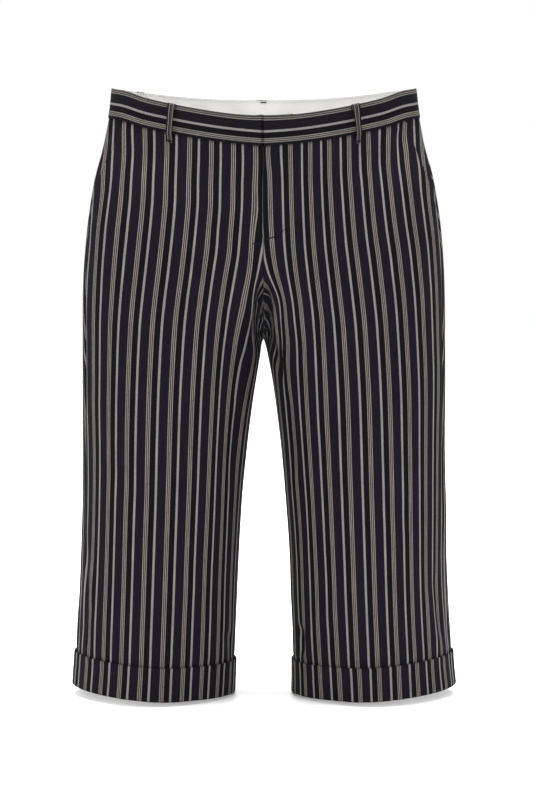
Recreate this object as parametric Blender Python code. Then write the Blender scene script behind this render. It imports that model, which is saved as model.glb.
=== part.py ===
"""Cropped wide-leg trousers with turn-ups, hollow and filled out as worn.

Metres, +Z up. The front faces -Y, left and right are the wearer's, so left is
+X. The origin is the middle of the waist opening, level with the top of the
waistband at the side seams. Every cloth piece is a strip or a panel of one
body surface, moved in or out along its normal and given a wall thickness.
"""
import math
from collections import namedtuple

import bmesh
import bpy
import numpy as np
from mathutils import Vector

MM = 0.001

# The body surface, one row a level, in millimetres.
#   drop        distance below the waistband's top at the side seam
#   half_width  from the centre plane to the outer side
#   inner       from the centre plane to a leg oval's inner side; where it is
#               negative the ovals would cross, and both are cut at the centre
#   front       depth of the oval in front of the side, back behind it
#   front_full  exponent of the front's oval: 2 is an ellipse, more is squarer
#   back_full   the same for the back, which spans the seat
#   seam        side seam, forward of the outermost point along the cloth
Level = namedtuple("Level", "drop half_width inner front back front_full back_full seam")
LEVELS = [
    Level(0, 180.0, -180.0, 88, 96, 2.25, 2.25, -6),
    Level(35, 185.0, -185.0, 89, 98, 2.25, 2.30, -4),
    Level(75, 192.0, -182.0, 91, 105, 2.25, 2.35, 2),
    Level(110, 201.0, -168.0, 93, 114, 2.20, 2.40, 8),
    Level(150, 208.5, -139.0, 94, 124, 2.15, 2.50, 14),
    Level(185, 212.5, -108.0, 94, 130, 2.10, 2.60, 18),
    Level(220, 215.0, -68.0, 92, 131, 2.05, 2.70, 21),
    Level(252, 216.0, -33.0, 89, 126, 2.00, 2.70, 23),
    Level(277, 216.0, -12.0, 86, 119, 2.00, 2.60, 24),
    Level(299, 216.0, 0.2, 84, 112, 2.00, 2.45, 24),
    Level(330, 216.2, 7.5, 81, 105, 2.00, 2.25, 24),
    Level(372, 216.7, 14.5, 79, 98, 2.00, 2.10, 24),
    Level(430, 217.2, 21.5, 80, 93, 2.00, 2.00, 24),
    Level(500, 218.4, 27.5, 82, 90, 2.00, 2.00, 24),
    Level(580, 221.2, 32.0, 84, 88, 2.00, 2.00, 23),
    Level(650, 225.2, 35.0, 85, 87, 2.00, 2.00, 22),
    Level(720, 230.2, 36.5, 86, 87, 2.00, 2.00, 21),
]
CROTCH_DROP = 299.0
HEM_DROP = 719.0

# The waist edge and the hems are not level.
FRONT_DIP = 27.0        # the waist's front centre below its sides
BACK_DIP = 18.5
DIP_ROUNDNESS = 1.7
HEM_SLOPE = 0.060       # the hems' inner ends hang lower than the outer ones

# Cloth and seams.
WALL = 1.2
SEAM_GAP = 0.3
PANEL_TRUNK_ROWS = 13
PANEL_LEG_ROWS = 14
PANEL_COLUMNS = 13

# Waistband and its facing.
BAND_HEIGHT = 34.5
BAND_WALL = 2.4
BAND_PROUD = 0.6
QUARTER_COLUMNS = 17
UNDERLAP = 36.0         # right band end, under the left one
UNDERLAP_SINK = 4.2
FACING_WALL = 1.0
FACING_GAP = 0.5
FACING_MARGIN = 0.7     # below the waistband's top edge

# Slanted side pockets.
MOUTH_START = 36.0      # mouth's top end, in front of the side seam
MOUTH_LENGTH = 125.0    # down the side seam from the waistband
MOUTH_BEND = 1.3
POCKET_LAP = 24.0       # facing that runs on under the front
POCKET_GAP = 0.8        # between the two, where their facets differ
POCKET_ROWS = 8
POCKET_COLUMNS = 6

# Fly.
FLY_DROP = 152.0
FLY_GAP = 0.6           # between the layers, where their facets differ
SHIELD_LEFT = 34.0      # reach under the left front
SHIELD_RIGHT = 6.0
SHIELD_SWELL = 2.4      # room round the slider
ZIP_CENTRE = 8.0
ZIP_WIDTH = 24.0
ZIP_DROP = 146.0
ZIP_WALL = 1.0
SLIDER_WIDTH = 8.0
SLIDER_HEIGHT = 11.0
SLIDER_WALL = 1.8
FLY_ROWS = 7

# Hook and bar between the lapped band ends.
HOOK_CENTRE = 18.0
HOOK_WIDTH = 12.0
HOOK_HEIGHT = 10.0
PLATE_WALL = 0.6

# Turn-ups.
CUFF_HEIGHT = 42.0
CUFF_WALL = 1.7

# Belt loops.
LOOP_WIDTH = 10.0
LOOP_WALL = 1.5
LOOP_STAND = 5.2        # clear gap for a belt
LOOP_TAIL = 46.0        # drop of the lower end
TAB_GAP = 0.7           # behind the upper end, where the waistband is hollow
LoopPlace = namedtuple("LoopPlace", "name side_offset lean front")
LOOPS = [
    LoopPlace("belt_loop_front_left", 109.0, 5.5, True),
    LoopPlace("belt_loop_front_right", -109.0, 5.5, True),
    LoopPlace("belt_loop_back_left", 146.0, 2.0, False),
    LoopPlace("belt_loop_back_right", -146.0, 2.0, False),
    LoopPlace("belt_loop_back_centre", 0.0, 0.0, False),
]

# A place on or off the body surface.
Spot = namedtuple("Spot", "drop angle side offset")

Finish = namedtuple("Finish", "name colour roughness metallic")
NAVY_CLOTH = Finish("striped_navy_cotton", (0.016, 0.017, 0.022), 0.85, 0.0)
WHITE_FACING = Finish("white_facing", (0.80, 0.79, 0.77), 0.85, 0.0)
NAVY_TAPE = Finish("navy_zip_tape", (0.015, 0.016, 0.022), 0.75, 0.0)
NICKEL = Finish("nickel", (0.55, 0.55, 0.56), 0.30, 1.0)


def clear_scene():
    for item in list(bpy.data.objects):
        bpy.data.objects.remove(item, do_unlink=True)


def ease(value):
    """Smooth step from 0 to 1."""
    value = min(1.0, max(0.0, value))
    return value * value * (3.0 - 2.0 * value)


def column_slope(index, column):
    """Slope of a table column at one of its rows."""
    before = LEVELS[max(index - 1, 0)]
    after = LEVELS[min(index + 1, len(LEVELS) - 1)]
    rise = getattr(after, column) - getattr(before, column)
    return rise / (after.drop - before.drop)


def measure(drop, column):
    """Smooth value of a table column at any drop."""
    index = 0
    while index < len(LEVELS) - 2 and drop > LEVELS[index + 1].drop:
        index += 1
    upper = LEVELS[index]
    lower = LEVELS[index + 1]
    span = lower.drop - upper.drop
    part = (drop - upper.drop) / span
    keep = 2 * part**3 - 3 * part**2 + 1
    swing = part**3 - 2 * part**2 + part
    settle = part**3 - part**2
    return (
        keep * getattr(upper, column)
        + swing * span * column_slope(index, column)
        + (1 - keep) * getattr(lower, column)
        + settle * span * column_slope(index + 1, column)
    )


def oval(drop):
    """Centre and half-width of one leg's oval."""
    outer = measure(drop, "half_width")
    inner = measure(drop, "inner")
    return (outer + inner) / 2, (outer - inner) / 2


def depth(drop, angle):
    return measure(drop, "front" if angle > 0 else "back")


def fullness(drop, angle):
    return measure(drop, "front_full" if angle > 0 else "back_full")


def body_point(drop, angle, side):
    """Point on the body surface. Angle 0 is the outer side, positive angles go
    round the front to the inner side at pi, and negative ones round the back."""
    centre, half = oval(drop)
    power = fullness(drop, angle)
    across = math.cos(angle)
    along = math.sin(angle)
    size = (abs(across) ** power + abs(along) ** power) ** (1 / power)
    x = centre + half * across / size
    y = -depth(drop, angle) * along / size

    fade = 1 - ease(drop / CROTCH_DROP)
    dip = (FRONT_DIP if angle > 0 else BACK_DIP) * fade
    share = min(1.0, abs(x) / measure(drop, "half_width"))
    hang = ease((drop - CROTCH_DROP) / (HEM_DROP - CUFF_HEIGHT - CROTCH_DROP))
    fall = dip * (1 - share**DIP_ROUNDNESS) + HEM_SLOPE * hang * (centre + half - x)
    return Vector((side * x, y, -drop - fall))


def body_normal(drop, angle, side):
    """Outward normal of the body surface."""
    step = 0.002
    reach = 0.5
    round_it = body_point(drop, angle + step, side) - body_point(drop, angle - step, side)
    down_it = body_point(drop + reach, angle, side) - body_point(drop - reach, angle, side)
    return side * round_it.cross(down_it).normalized()


def off_body(drop, angle, side, offset):
    """Point moved out from the body surface, or in where offset is negative."""
    place = body_point(drop, angle, side)
    return place + body_normal(drop, angle, side) * offset


def angle_at(drop, x, front):
    """Angle where the surface crosses the plane at distance x from the centre."""
    centre, half = oval(drop)
    power = measure(drop, "front_full" if front else "back_full")
    across = min(1.0, max(-1.0, (x - centre) / half))
    along = (1 - abs(across) ** power) ** (1 / power)
    angle = math.atan2(along, across)
    return angle if front else -angle


def angle_beside(drop, x, shift, front):
    """Angle of a place on the cloth beside distance x, shifted towards the side."""
    angle = angle_at(drop, x, front)
    step = 0.001
    speed = (body_point(drop, angle + step, 1) - body_point(drop, angle, 1)).length / step
    return angle - math.copysign(1.0, angle) * shift / speed


def centre_angle(drop, front):
    """Angle of the centre seam above the crotch, and of the inseam below it."""
    trim = SEAM_GAP / 2
    if drop < CROTCH_DROP:
        return angle_at(drop, trim, front)
    angle = math.pi - trim / measure(drop, "front" if front else "back")
    return angle if front else -angle


def seam_angle(drop, shift=0.0):
    """Angle of the side seam, moved forward along the cloth by shift."""
    forward = measure(drop, "seam") + shift
    return forward / measure(drop, "front" if forward > 0 else "back")


def mouth_shift(drop):
    """How far in front of the side seam the pocket mouth lies."""
    part = min(1.0, max(0.0, (drop - BAND_HEIGHT) / MOUTH_LENGTH))
    return MOUTH_START * (1 - part**MOUTH_BEND)


def spread(start, end, count):
    return [float(value) for value in np.linspace(start, end, count)]


def cloth_from_spots(name, grid, wall, finish):
    """Closed body from a grid of spots on its outer face. The inner face lies a
    wall deeper along the surface normals, and rims close the four edges."""
    work = bmesh.new()
    faces = []
    for sink in (0.0, wall):
        rows = []
        for row in grid:
            points = [off_body(spot.drop, spot.angle, spot.side, spot.offset - sink) for spot in row]
            rows.append([work.verts.new(point * MM) for point in points])
        faces.append(rows)
    outer, inner = faces
    for row in range(len(grid) - 1):
        for column in range(len(grid[0]) - 1):
            for rows in (outer, inner):
                corners = [
                    rows[row][column],
                    rows[row + 1][column],
                    rows[row + 1][column + 1],
                    rows[row][column + 1],
                ]
                work.faces.new(corners)
    for row in range(len(grid) - 1):
        for column in (0, -1):
            work.faces.new((
                outer[row][column],
                outer[row + 1][column],
                inner[row + 1][column],
                inner[row][column],
            ))
    for column in range(len(grid[0]) - 1):
        for row in (0, -1):
            work.faces.new((
                outer[row][column],
                outer[row][column + 1],
                inner[row][column + 1],
                inner[row][column],
            ))
    bmesh.ops.recalc_face_normals(work, faces=work.faces)
    return finish_object(name, work, finish)


def strip_from_points(name, grid, wall, finish):
    """Bent strip from a grid of points in millimetres on its outer face.
    Solidify gives the wall towards the inside."""
    work = bmesh.new()
    rows = [[work.verts.new(point * MM) for point in row] for row in grid]
    for upper, lower in zip(rows, rows[1:]):
        for index in range(len(upper) - 1):
            work.faces.new((upper[index], lower[index], lower[index + 1], upper[index + 1]))
    return finish_object(name, work, finish, wall)


def finish_object(name, work, finish, wall=None):
    """Turn a bmesh into a named object with its material."""
    mesh = bpy.data.meshes.new(name)
    work.to_mesh(mesh)
    work.free()
    item = bpy.data.objects.new(name, mesh)
    bpy.context.collection.objects.link(item)
    mesh.materials.append(material(finish))
    mesh.shade_smooth()
    if wall is not None:
        shell = item.modifiers.new("wall", "SOLIDIFY")
        shell.thickness = wall * MM
        shell.offset = -1.0
    return item


def material(finish):
    found = bpy.data.materials.get(finish.name)
    if found is not None:
        return found
    made = bpy.data.materials.new(finish.name)
    made.use_nodes = True
    shader = made.node_tree.nodes["Principled BSDF"]
    shader.inputs["Base Color"].default_value = (*finish.colour, 1.0)
    shader.inputs["Roughness"].default_value = finish.roughness
    shader.inputs["Metallic"].default_value = finish.metallic
    made.diffuse_color = (*finish.colour, 1.0)
    return made


def panel_drops():
    top = BAND_HEIGHT + SEAM_GAP
    trunk = spread(top, CROTCH_DROP, PANEL_TRUNK_ROWS)
    # The leg ends just above the fold of its turn-up.
    leg = spread(CROTCH_DROP, HEM_DROP - CUFF_WALL - SEAM_GAP, PANEL_LEG_ROWS)
    return trunk + leg[1:]


def make_front(name, side):
    grid = []
    for drop in panel_drops():
        outer = seam_angle(drop, mouth_shift(drop) + SEAM_GAP / 2)
        angles = spread(outer, centre_angle(drop, True), PANEL_COLUMNS)
        grid.append([Spot(drop, angle, side, 0.0) for angle in angles])
    return cloth_from_spots(name, grid, WALL, NAVY_CLOTH)


def make_back(name, side):
    grid = []
    for drop in panel_drops():
        outer = seam_angle(drop, -SEAM_GAP / 2)
        angles = spread(centre_angle(drop, False), outer, PANEL_COLUMNS)
        grid.append([Spot(drop, angle, side, 0.0) for angle in angles])
    return cloth_from_spots(name, grid, WALL, NAVY_CLOTH)


def make_pocket_facing(name, side):
    """Piece behind the pocket mouth, from the side seam to under the front."""
    sink = -(WALL + POCKET_GAP)
    top = BAND_HEIGHT + SEAM_GAP
    grid = []
    for drop in spread(top, BAND_HEIGHT + MOUTH_LENGTH, POCKET_ROWS):
        outer = seam_angle(drop, SEAM_GAP)
        inner = seam_angle(drop, mouth_shift(drop) + POCKET_LAP)
        angles = spread(outer, inner, POCKET_COLUMNS)
        grid.append([Spot(drop, angle, side, sink) for angle in angles])
    return cloth_from_spots(name, grid, WALL, NAVY_CLOTH)


def back_quarter(drop):
    """Angles from the centre back of the waistband to its outer side."""
    return spread(centre_angle(drop, False), 0.0, QUARTER_COLUMNS)


def underlap_offset(x):
    """Outer face of the right band, which dives under the left one at the front."""
    return BAND_PROUD - UNDERLAP_SINK * ease((x + 11.0) / 9.5)


def make_band_left(name):
    grid = []
    for drop in spread(0.0, BAND_HEIGHT, 3):
        front = [-angle for angle in reversed(back_quarter(drop))]
        angles = back_quarter(drop) + front[1:]
        grid.append([Spot(drop, angle, 1, BAND_PROUD) for angle in angles])
    return cloth_from_spots(name, grid, BAND_WALL, NAVY_CLOTH)


def make_band_right(name):
    """Right half, with the end that runs on under the left half."""
    grid = []
    for drop in spread(0.0, BAND_HEIGHT, 3):
        front = spread(0.0, angle_at(drop, 14.0, True), QUARTER_COLUMNS)
        angles = back_quarter(drop) + front[1:]
        row = [Spot(drop, angle, -1, BAND_PROUD) for angle in angles]
        for x in (-11.0, -8.5, -6.0, -3.5, -1.0, 8.0, 17.0, 26.0, UNDERLAP):
            row.append(Spot(drop, angle_at(drop, -x, True), -1, underlap_offset(x)))
        grid.append(row)
    return cloth_from_spots(name, grid, BAND_WALL, NAVY_CLOTH)


def make_band_facing(name):
    """White facing inside the back of the waistband, from side to side."""
    sink = BAND_PROUD - BAND_WALL - FACING_GAP
    grid = []
    for drop in (FACING_MARGIN, BAND_HEIGHT):
        left = [Spot(drop, angle, 1, sink) for angle in back_quarter(drop)]
        right = [Spot(drop, angle, -1, sink) for angle in back_quarter(drop)[1:]]
        grid.append(list(reversed(left)) + right)
    return cloth_from_spots(name, grid, FACING_WALL, WHITE_FACING)


def near_centre(drop, x, offset):
    """Spot on the front near the centre seam, at signed distance x from it."""
    side = 1 if x >= 0 else -1
    return Spot(drop, angle_at(drop, abs(x), True), side, offset)


def patch(name, drops, places, offset_at, wall, finish):
    """Piece on the front that spans the given drops and distances from the centre."""
    grid = []
    for drop in drops:
        grid.append([near_centre(drop, x, offset_at(x)) for x in places])
    return cloth_from_spots(name, grid, wall, finish)


def shield_offset(x):
    """Fly shield's outer face, swollen where the slider sits."""
    swell = 1 - ease((abs(x - ZIP_CENTRE) - SLIDER_WIDTH / 2 - 1.0) / SLIDER_WIDTH)
    return -(WALL + 2 * FLY_GAP + ZIP_WALL) - SHIELD_SWELL * swell


def make_fly():
    top = BAND_HEIGHT + SEAM_GAP
    shield_drops = spread(top, FLY_DROP, FLY_ROWS)
    shield_places = spread(-SHIELD_RIGHT, SHIELD_LEFT, 9)
    patch("fly_shield", shield_drops, shield_places, shield_offset, WALL, NAVY_CLOTH)

    tape_drops = spread(top, ZIP_DROP, FLY_ROWS)
    tape_places = spread(ZIP_CENTRE - ZIP_WIDTH / 2, ZIP_CENTRE + ZIP_WIDTH / 2, 5)
    tape_offset = -(WALL + FLY_GAP)
    patch("fly_zip", tape_drops, tape_places, lambda x: tape_offset, ZIP_WALL, NAVY_TAPE)

    slider_drops = spread(top + 2.0, top + 2.0 + SLIDER_HEIGHT, 3)
    slider_places = spread(ZIP_CENTRE - SLIDER_WIDTH / 2, ZIP_CENTRE + SLIDER_WIDTH / 2, 3)
    slider_offset = tape_offset - ZIP_WALL - SEAM_GAP
    patch("zip_slider", slider_drops, slider_places, lambda x: slider_offset, SLIDER_WALL, NICKEL)


def make_hook_and_bar():
    """Flat trouser hook on the left band end and the bar it catches on the right one."""
    middle = BAND_HEIGHT / 2
    drops = spread(middle - HOOK_HEIGHT / 2, middle + HOOK_HEIGHT / 2, 3)
    places = spread(HOOK_CENTRE - HOOK_WIDTH / 2, HOOK_CENTRE + HOOK_WIDTH / 2, 4)
    hook_offset = BAND_PROUD - BAND_WALL - SEAM_GAP
    bar_offset = underlap_offset(HOOK_CENTRE) + SEAM_GAP + PLATE_WALL
    patch("waist_hook", drops, places, lambda x: hook_offset, PLATE_WALL, NICKEL)
    patch("waist_bar", drops, places, lambda x: bar_offset, PLATE_WALL, NICKEL)


def loop_path(inner_face):
    """Belt loop's outer face from its end inside the waist, over the top edge,
    down past the belt's room and in to the panel below, as (offset, drop)."""
    inside = inner_face - TAB_GAP
    top = -(SEAM_GAP + LOOP_WALL)
    outside = BAND_PROUD + LOOP_STAND + LOOP_WALL
    seat = BAND_PROUD + SEAM_GAP + LOOP_WALL
    return [
        (inside - LOOP_WALL, 3.0),
        (inside - LOOP_WALL, top * 0.5),
        (inside - LOOP_WALL * 0.5, top),
        (BAND_PROUD - 0.5, top),
        (outside - 1.2, top * 0.6),
        (outside, 2.5),
        (outside, 18.0),
        (outside, 35.0),
        (outside - 1.5, 38.0),
        (seat + 0.2, 40.5),
        (seat - BAND_PROUD, LOOP_TAIL),
    ]


def make_loop(place):
    """Belt loop: a strip that follows the surface under its two edges."""
    side = -1 if place.side_offset < 0 else 1
    inner_face = BAND_PROUD - BAND_WALL
    if not place.front:
        inner_face -= FACING_GAP + FACING_WALL
    grid = []
    for offset, drop in loop_path(inner_face):
        level = max(drop, 0.0)
        middle = abs(place.side_offset) + place.lean * level / LOOP_TAIL
        lift = Vector((0.0, 0.0, level - drop))
        row = []
        for edge in (-LOOP_WIDTH / 2, LOOP_WIDTH / 2):
            angle = angle_beside(level, middle, edge, place.front)
            row.append(off_body(level, angle, side, offset) + lift)
        grid.append(row)
    # Rows run towards the side, which on two of the four quarters is clockwise.
    if (side > 0) != place.front:
        grid = [list(reversed(row)) for row in grid]
    return strip_from_points(place.name, grid, LOOP_WALL, NAVY_CLOTH)


def leg_angles(drop):
    """Angles all round a leg, in line with the columns of its two panels."""
    side = seam_angle(drop)
    return spread(side, math.pi, PANEL_COLUMNS) + spread(-math.pi, side, PANEL_COLUMNS)[1:-1]


def make_cuff(name, side):
    """Turn-up: a ring outside the leg whose fold passes under the leg's end."""
    top = HEM_DROP - CUFF_HEIGHT
    inside = SEAM_GAP
    outside = SEAM_GAP + CUFF_WALL
    fold = HEM_DROP - CUFF_WALL
    profile = [
        (inside, top),
        (outside, top + 0.3),
        (outside, fold),
        (outside - 0.8, HEM_DROP),
        (-WALL + 0.6, HEM_DROP),
        (-WALL, fold + 0.6),
        (-WALL, fold),
        (inside, fold),
    ]
    work = bmesh.new()
    rings = []
    for offset, drop in profile:
        ring = [off_body(drop, angle, side, offset) for angle in leg_angles(drop)]
        rings.append([work.verts.new(point * MM) for point in ring])
    for index, ring in enumerate(rings):
        below = rings[(index + 1) % len(rings)]
        for column in range(len(ring)):
            after = (column + 1) % len(ring)
            work.faces.new((ring[column], below[column], below[after], ring[after]))
    bmesh.ops.recalc_face_normals(work, faces=work.faces)
    return finish_object(name, work, NAVY_CLOTH)


def main():
    clear_scene()
    for label, side in (("left", 1), ("right", -1)):
        make_front("front_" + label, side)
        make_back("back_" + label, side)
        make_pocket_facing("pocket_facing_" + label, side)
        make_cuff("turn_up_" + label, side)
    make_band_left("waistband_left")
    make_band_right("waistband_right")
    make_band_facing("waistband_facing_back")
    make_fly()
    make_hook_and_bar()
    for place in LOOPS:
        make_loop(place)


main()
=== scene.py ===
import math
from collections import namedtuple
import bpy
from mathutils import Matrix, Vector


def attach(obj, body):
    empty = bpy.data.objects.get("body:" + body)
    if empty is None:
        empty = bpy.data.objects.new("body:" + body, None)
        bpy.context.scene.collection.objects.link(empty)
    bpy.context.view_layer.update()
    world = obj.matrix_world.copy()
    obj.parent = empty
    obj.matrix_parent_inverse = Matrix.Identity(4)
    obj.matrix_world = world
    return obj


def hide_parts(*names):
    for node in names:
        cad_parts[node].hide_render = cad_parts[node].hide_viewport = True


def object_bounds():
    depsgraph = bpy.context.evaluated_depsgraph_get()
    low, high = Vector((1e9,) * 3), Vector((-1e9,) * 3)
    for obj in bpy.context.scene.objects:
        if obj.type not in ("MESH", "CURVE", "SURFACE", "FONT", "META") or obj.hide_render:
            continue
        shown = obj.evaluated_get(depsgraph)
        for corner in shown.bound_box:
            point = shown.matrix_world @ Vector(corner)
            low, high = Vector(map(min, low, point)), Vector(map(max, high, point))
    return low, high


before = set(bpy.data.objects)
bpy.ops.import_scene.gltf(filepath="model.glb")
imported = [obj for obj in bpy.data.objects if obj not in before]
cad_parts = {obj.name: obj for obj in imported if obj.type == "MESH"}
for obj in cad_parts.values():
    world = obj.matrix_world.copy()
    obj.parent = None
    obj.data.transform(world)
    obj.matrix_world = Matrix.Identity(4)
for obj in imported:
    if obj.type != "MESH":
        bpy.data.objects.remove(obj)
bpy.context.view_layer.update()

from types import SimpleNamespace

import bpy
import numpy as np
from mathutils import Vector

# Cropped trousers in striped cotton: fine cloth shells, seams, creases,
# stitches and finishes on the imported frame. The front faces -Y and left is the
# wearer's left, +X. Lengths are in millimetres until a mesh is made.
mm = 0.001


levelNames = ("drop", "halfWidth", "inner", "front", "back", "frontFull", "backFull", "seam")
levelRows = [  # one row a level, with the CAD's widths and leaner sections at waist and hems
    (0, 180.0, -180.0, 88, 96, 1.70, 1.54, -6),
    (35, 185.0, -185.0, 89, 98, 1.72, 1.62, -4),
    (75, 192.0, -182.0, 91, 105, 1.88, 1.96, 2),
    (110, 201.0, -168.0, 93, 114, 2.08, 2.25, 8),
    (150, 208.5, -139.0, 94, 124, 2.14, 2.46, 14),
    (185, 212.5, -108.0, 94, 130, 2.10, 2.60, 18),
    (220, 215.0, -68.0, 92, 131, 2.05, 2.70, 21),
    (252, 216.0, -33.0, 89, 126, 2.00, 2.70, 23),
    (277, 216.0, -12.0, 86, 119, 2.00, 2.60, 24),
    (299, 216.0, 0.2, 84, 112, 2.00, 2.45, 24),
    (330, 216.2, 7.5, 81, 105, 2.00, 2.25, 24),
    (372, 216.7, 14.5, 79, 98, 2.00, 2.10, 24),
    (430, 217.2, 21.5, 80, 93, 1.95, 1.95, 24),
    (500, 218.4, 27.5, 81, 90, 1.90, 1.90, 24),
    (580, 221.2, 32.0, 82, 88, 1.83, 1.83, 23),
    (650, 225.2, 35.0, 81, 86, 1.77, 1.77, 22),
    (720, 230.2, 36.5, 80, 85, 1.72, 1.72, 21),
]

# the two sides aren't quite alike: how far each stands wider than the levels say
easeNames = ("drop", "outerLeft", "outerRight", "innerLeft", "innerRight")
easeRows = [
    (0, 0.6, -0.6, 0.0, 0.0),
    (30, 0.2, -1.5, 0.0, 0.0),
    (60, 0.9, -0.4, 0.0, 0.0),
    (90, 1.3, 0.9, 0.0, 0.0),
    (150, 0.5, 0.0, 0.0, 0.0),
    (220, 0.7, -0.2, 0.0, 0.0),
    (290, 1.8, 0.0, 0.0, 0.0),
    (345, 2.5, 0.0, 0.0, 1.3),
    (420, 1.4, 0.0, 0.2, 1.2),
    (500, 1.7, 0.4, 0.0, 1.1),
    (560, 0.6, 0.8, -0.5, 1.1),
    (600, 0.6, 1.0, 0.2, 1.1),
    (640, 0.6, 1.1, 0.0, 1.1),
    (676, 1.0, 0.3, 0.2, 1.0),
    (720, 1.4, 0.7, 0.4, 0.6),
]

garment = {
    "crotchDrop": 299.0,
    "hemDrop": 719.0,
    "bandHeight": 34.5,
    "frontDip": 27.0,  # the waist's front centre below its sides
    "frontSoft": 0.26,
    "frontCurve": 1.16,
    "backDip": 18.0,
    "backSoft": 0.115,
    "backCurve": 1.87,
    "sideLift": 2.3,  # the front's edge is straighter close to its sides
    "sideLiftAt": 0.90,  # where, and over what share of the half width
    "sideLiftWidth": 0.088,
    "leftSag": 0.9,  # the left front's edge hangs a little lower than the right's
    "centreSag": 2.4,  # the band's lower edge comes to a point at the centre front
    "centreSagWidth": 20.0,
    "innerLift": 1.5,  # the hems are straighter towards their inner sides
    "innerLiftFrom": 118.0,
    "innerLiftWidth": 45.0,
    "hemSlope": 0.060,
    "cuffHeight": 42.0,
    "mouthStart": 36.0,  # pocket mouth's top end, in front of the side seam
    "mouthLength": 125.0,
    "mouthBend": 1.3,
    "flyDrop": 160.0,
}


def asTable(names, rows):
    return dict(zip(names, np.array(rows, float).T))


def smooth(value):
    value = np.clip(value, 0.0, 1.0)
    return value * value * (3 - 2 * value)


def bell(distance, width):
    # 1 at no distance, falling off softly
    return np.exp(-(distance / width) ** 2)


def between(drop, start, fadeIn, end, fadeOut):
    return smooth((drop - start) / fadeIn) * smooth((end - drop) / fadeOut)


def smoothColumn(table, name, drop):
    # a column's value at any drop, on a smooth curve through the rows
    drops = table["drop"]
    values = table[name]
    slopes = np.gradient(values, drops)
    slopes[1:-1] = (values[2:] - values[:-2]) / (drops[2:] - drops[:-2])
    row = np.clip(np.searchsorted(drops, drop) - 1, 0, len(drops) - 2)
    span = drops[row + 1] - drops[row]
    part = np.clip((drop - drops[row]) / span, 0.0, 1.0)
    keep = 2 * part**3 - 3 * part**2 + 1
    swing = (part**3 - 2 * part**2 + part) * span * slopes[row]
    settle = (part**3 - part**2) * span * slopes[row + 1]
    return keep * values[row] + swing + (1 - keep) * values[row + 1] + settle


levels = asTable(levelNames, levelRows)
eases = asTable(easeNames, easeRows)


def measure(drop, name):
    return smoothColumn(levels, name, drop)


def measureFacing(drop, angle, frontName, backName):
    return np.where(angle > 0, measure(drop, frontName), measure(drop, backName))


def dipShare(share, soft, curve):
    # 0 at the centre and 1 at the side, level at the centre
    return ((np.hypot(share, soft) - soft) / (math.hypot(1.0, soft) - soft)) ** curve


def fallAt(drop, angle, side, x, outer):
    # how far a place hangs below its level: the waist dips at its front and back,
    # and the hems slope
    share = np.minimum(1.0, np.abs(x) / outer)
    frontFall = garment["frontDip"] * (1 - dipShare(share, garment["frontSoft"], garment["frontCurve"]))
    lifted = bell(share - garment["sideLiftAt"], garment["sideLiftWidth"])
    frontFall = frontFall - garment["sideLift"] * lifted
    if side > 0:
        frontFall = frontFall + garment["leftSag"] * 4 * share * (1 - share)
    pointed = garment["centreSag"] * np.exp(-np.abs(x) / garment["centreSagWidth"])
    frontFall = frontFall + pointed * drop / (np.abs(drop) + 6)
    backFall = garment["backDip"] * (1 - dipShare(share, garment["backSoft"], garment["backCurve"]))
    fade = 1 - smooth(drop / garment["crotchDrop"])
    fall = np.where(angle > 0, frontFall, backFall) * fade
    legLength = garment["hemDrop"] - garment["cuffHeight"] - garment["crotchDrop"]
    hang = smooth((drop - garment["crotchDrop"]) / legLength)
    fall = fall + garment["hemSlope"] * hang * (outer - x)
    towardsInner = (garment["innerLiftFrom"] - x) / garment["innerLiftWidth"]
    return fall - garment["innerLift"] * hang * smooth(towardsInner)


def bodyPoint(drop, angle, side):
    # angle 0 is the outer side, positive angles go round the front to the inner side
    drop, angle = np.broadcast_arrays(np.asarray(drop, float), np.asarray(angle, float))
    outer = measure(drop, "halfWidth")
    inner = measure(drop, "inner")
    centre = (outer + inner) / 2
    half = (outer - inner) / 2
    power = measureFacing(drop, angle, "frontFull", "backFull")
    across = np.cos(angle)
    along = np.sin(angle)
    size = (np.abs(across) ** power + np.abs(along) ** power) ** (1 / power)
    x = centre + half * across / size
    y = -measureFacing(drop, angle, "front", "back") * along / size
    label = "Left" if side > 0 else "Right"
    x = x + smoothColumn(eases, "outer" + label, drop) * smooth((x / outer - 0.35) / 0.65)
    x = x - smoothColumn(eases, "inner" + label, drop) * smooth((centre - x) / half)
    return np.stack((side * x, y, -drop - fallAt(drop, angle, side, x, outer)), axis=-1)


def unit(vectors):
    return vectors / np.linalg.norm(vectors, axis=-1, keepdims=True)


def bodyNormal(drop, angle, side):
    roundIt = bodyPoint(drop, angle + 0.002, side) - bodyPoint(drop, angle - 0.002, side)
    downIt = bodyPoint(drop + 0.5, angle, side) - bodyPoint(drop - 0.5, angle, side)
    return unit(side * np.cross(roundIt, downIt))


def offBody(drop, angle, side, offset):
    away = np.asarray(offset, float)[..., None]
    return bodyPoint(drop, angle, side) + bodyNormal(drop, angle, side) * away


def angleAt(drop, x, front):
    # angle where the surface crosses the plane at distance x from the centre
    outer = measure(drop, "halfWidth")
    inner = measure(drop, "inner")
    power = measure(drop, "frontFull" if front else "backFull")
    across = np.clip((x - (outer + inner) / 2) / ((outer - inner) / 2), -1.0, 1.0)
    along = (1 - np.abs(across) ** power) ** (1 / power)
    angle = np.arctan2(along, across)
    return angle if front else -angle


def angleBeside(drop, x, shift, front):
    # angle of a place on the cloth beside distance x, shifted towards the side
    angle = angleAt(drop, x, front)
    step = bodyPoint(drop, angle + 0.001, 1) - bodyPoint(drop, angle, 1)
    return angle - math.copysign(1.0, angle) * shift * 0.001 / np.linalg.norm(step)


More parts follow.
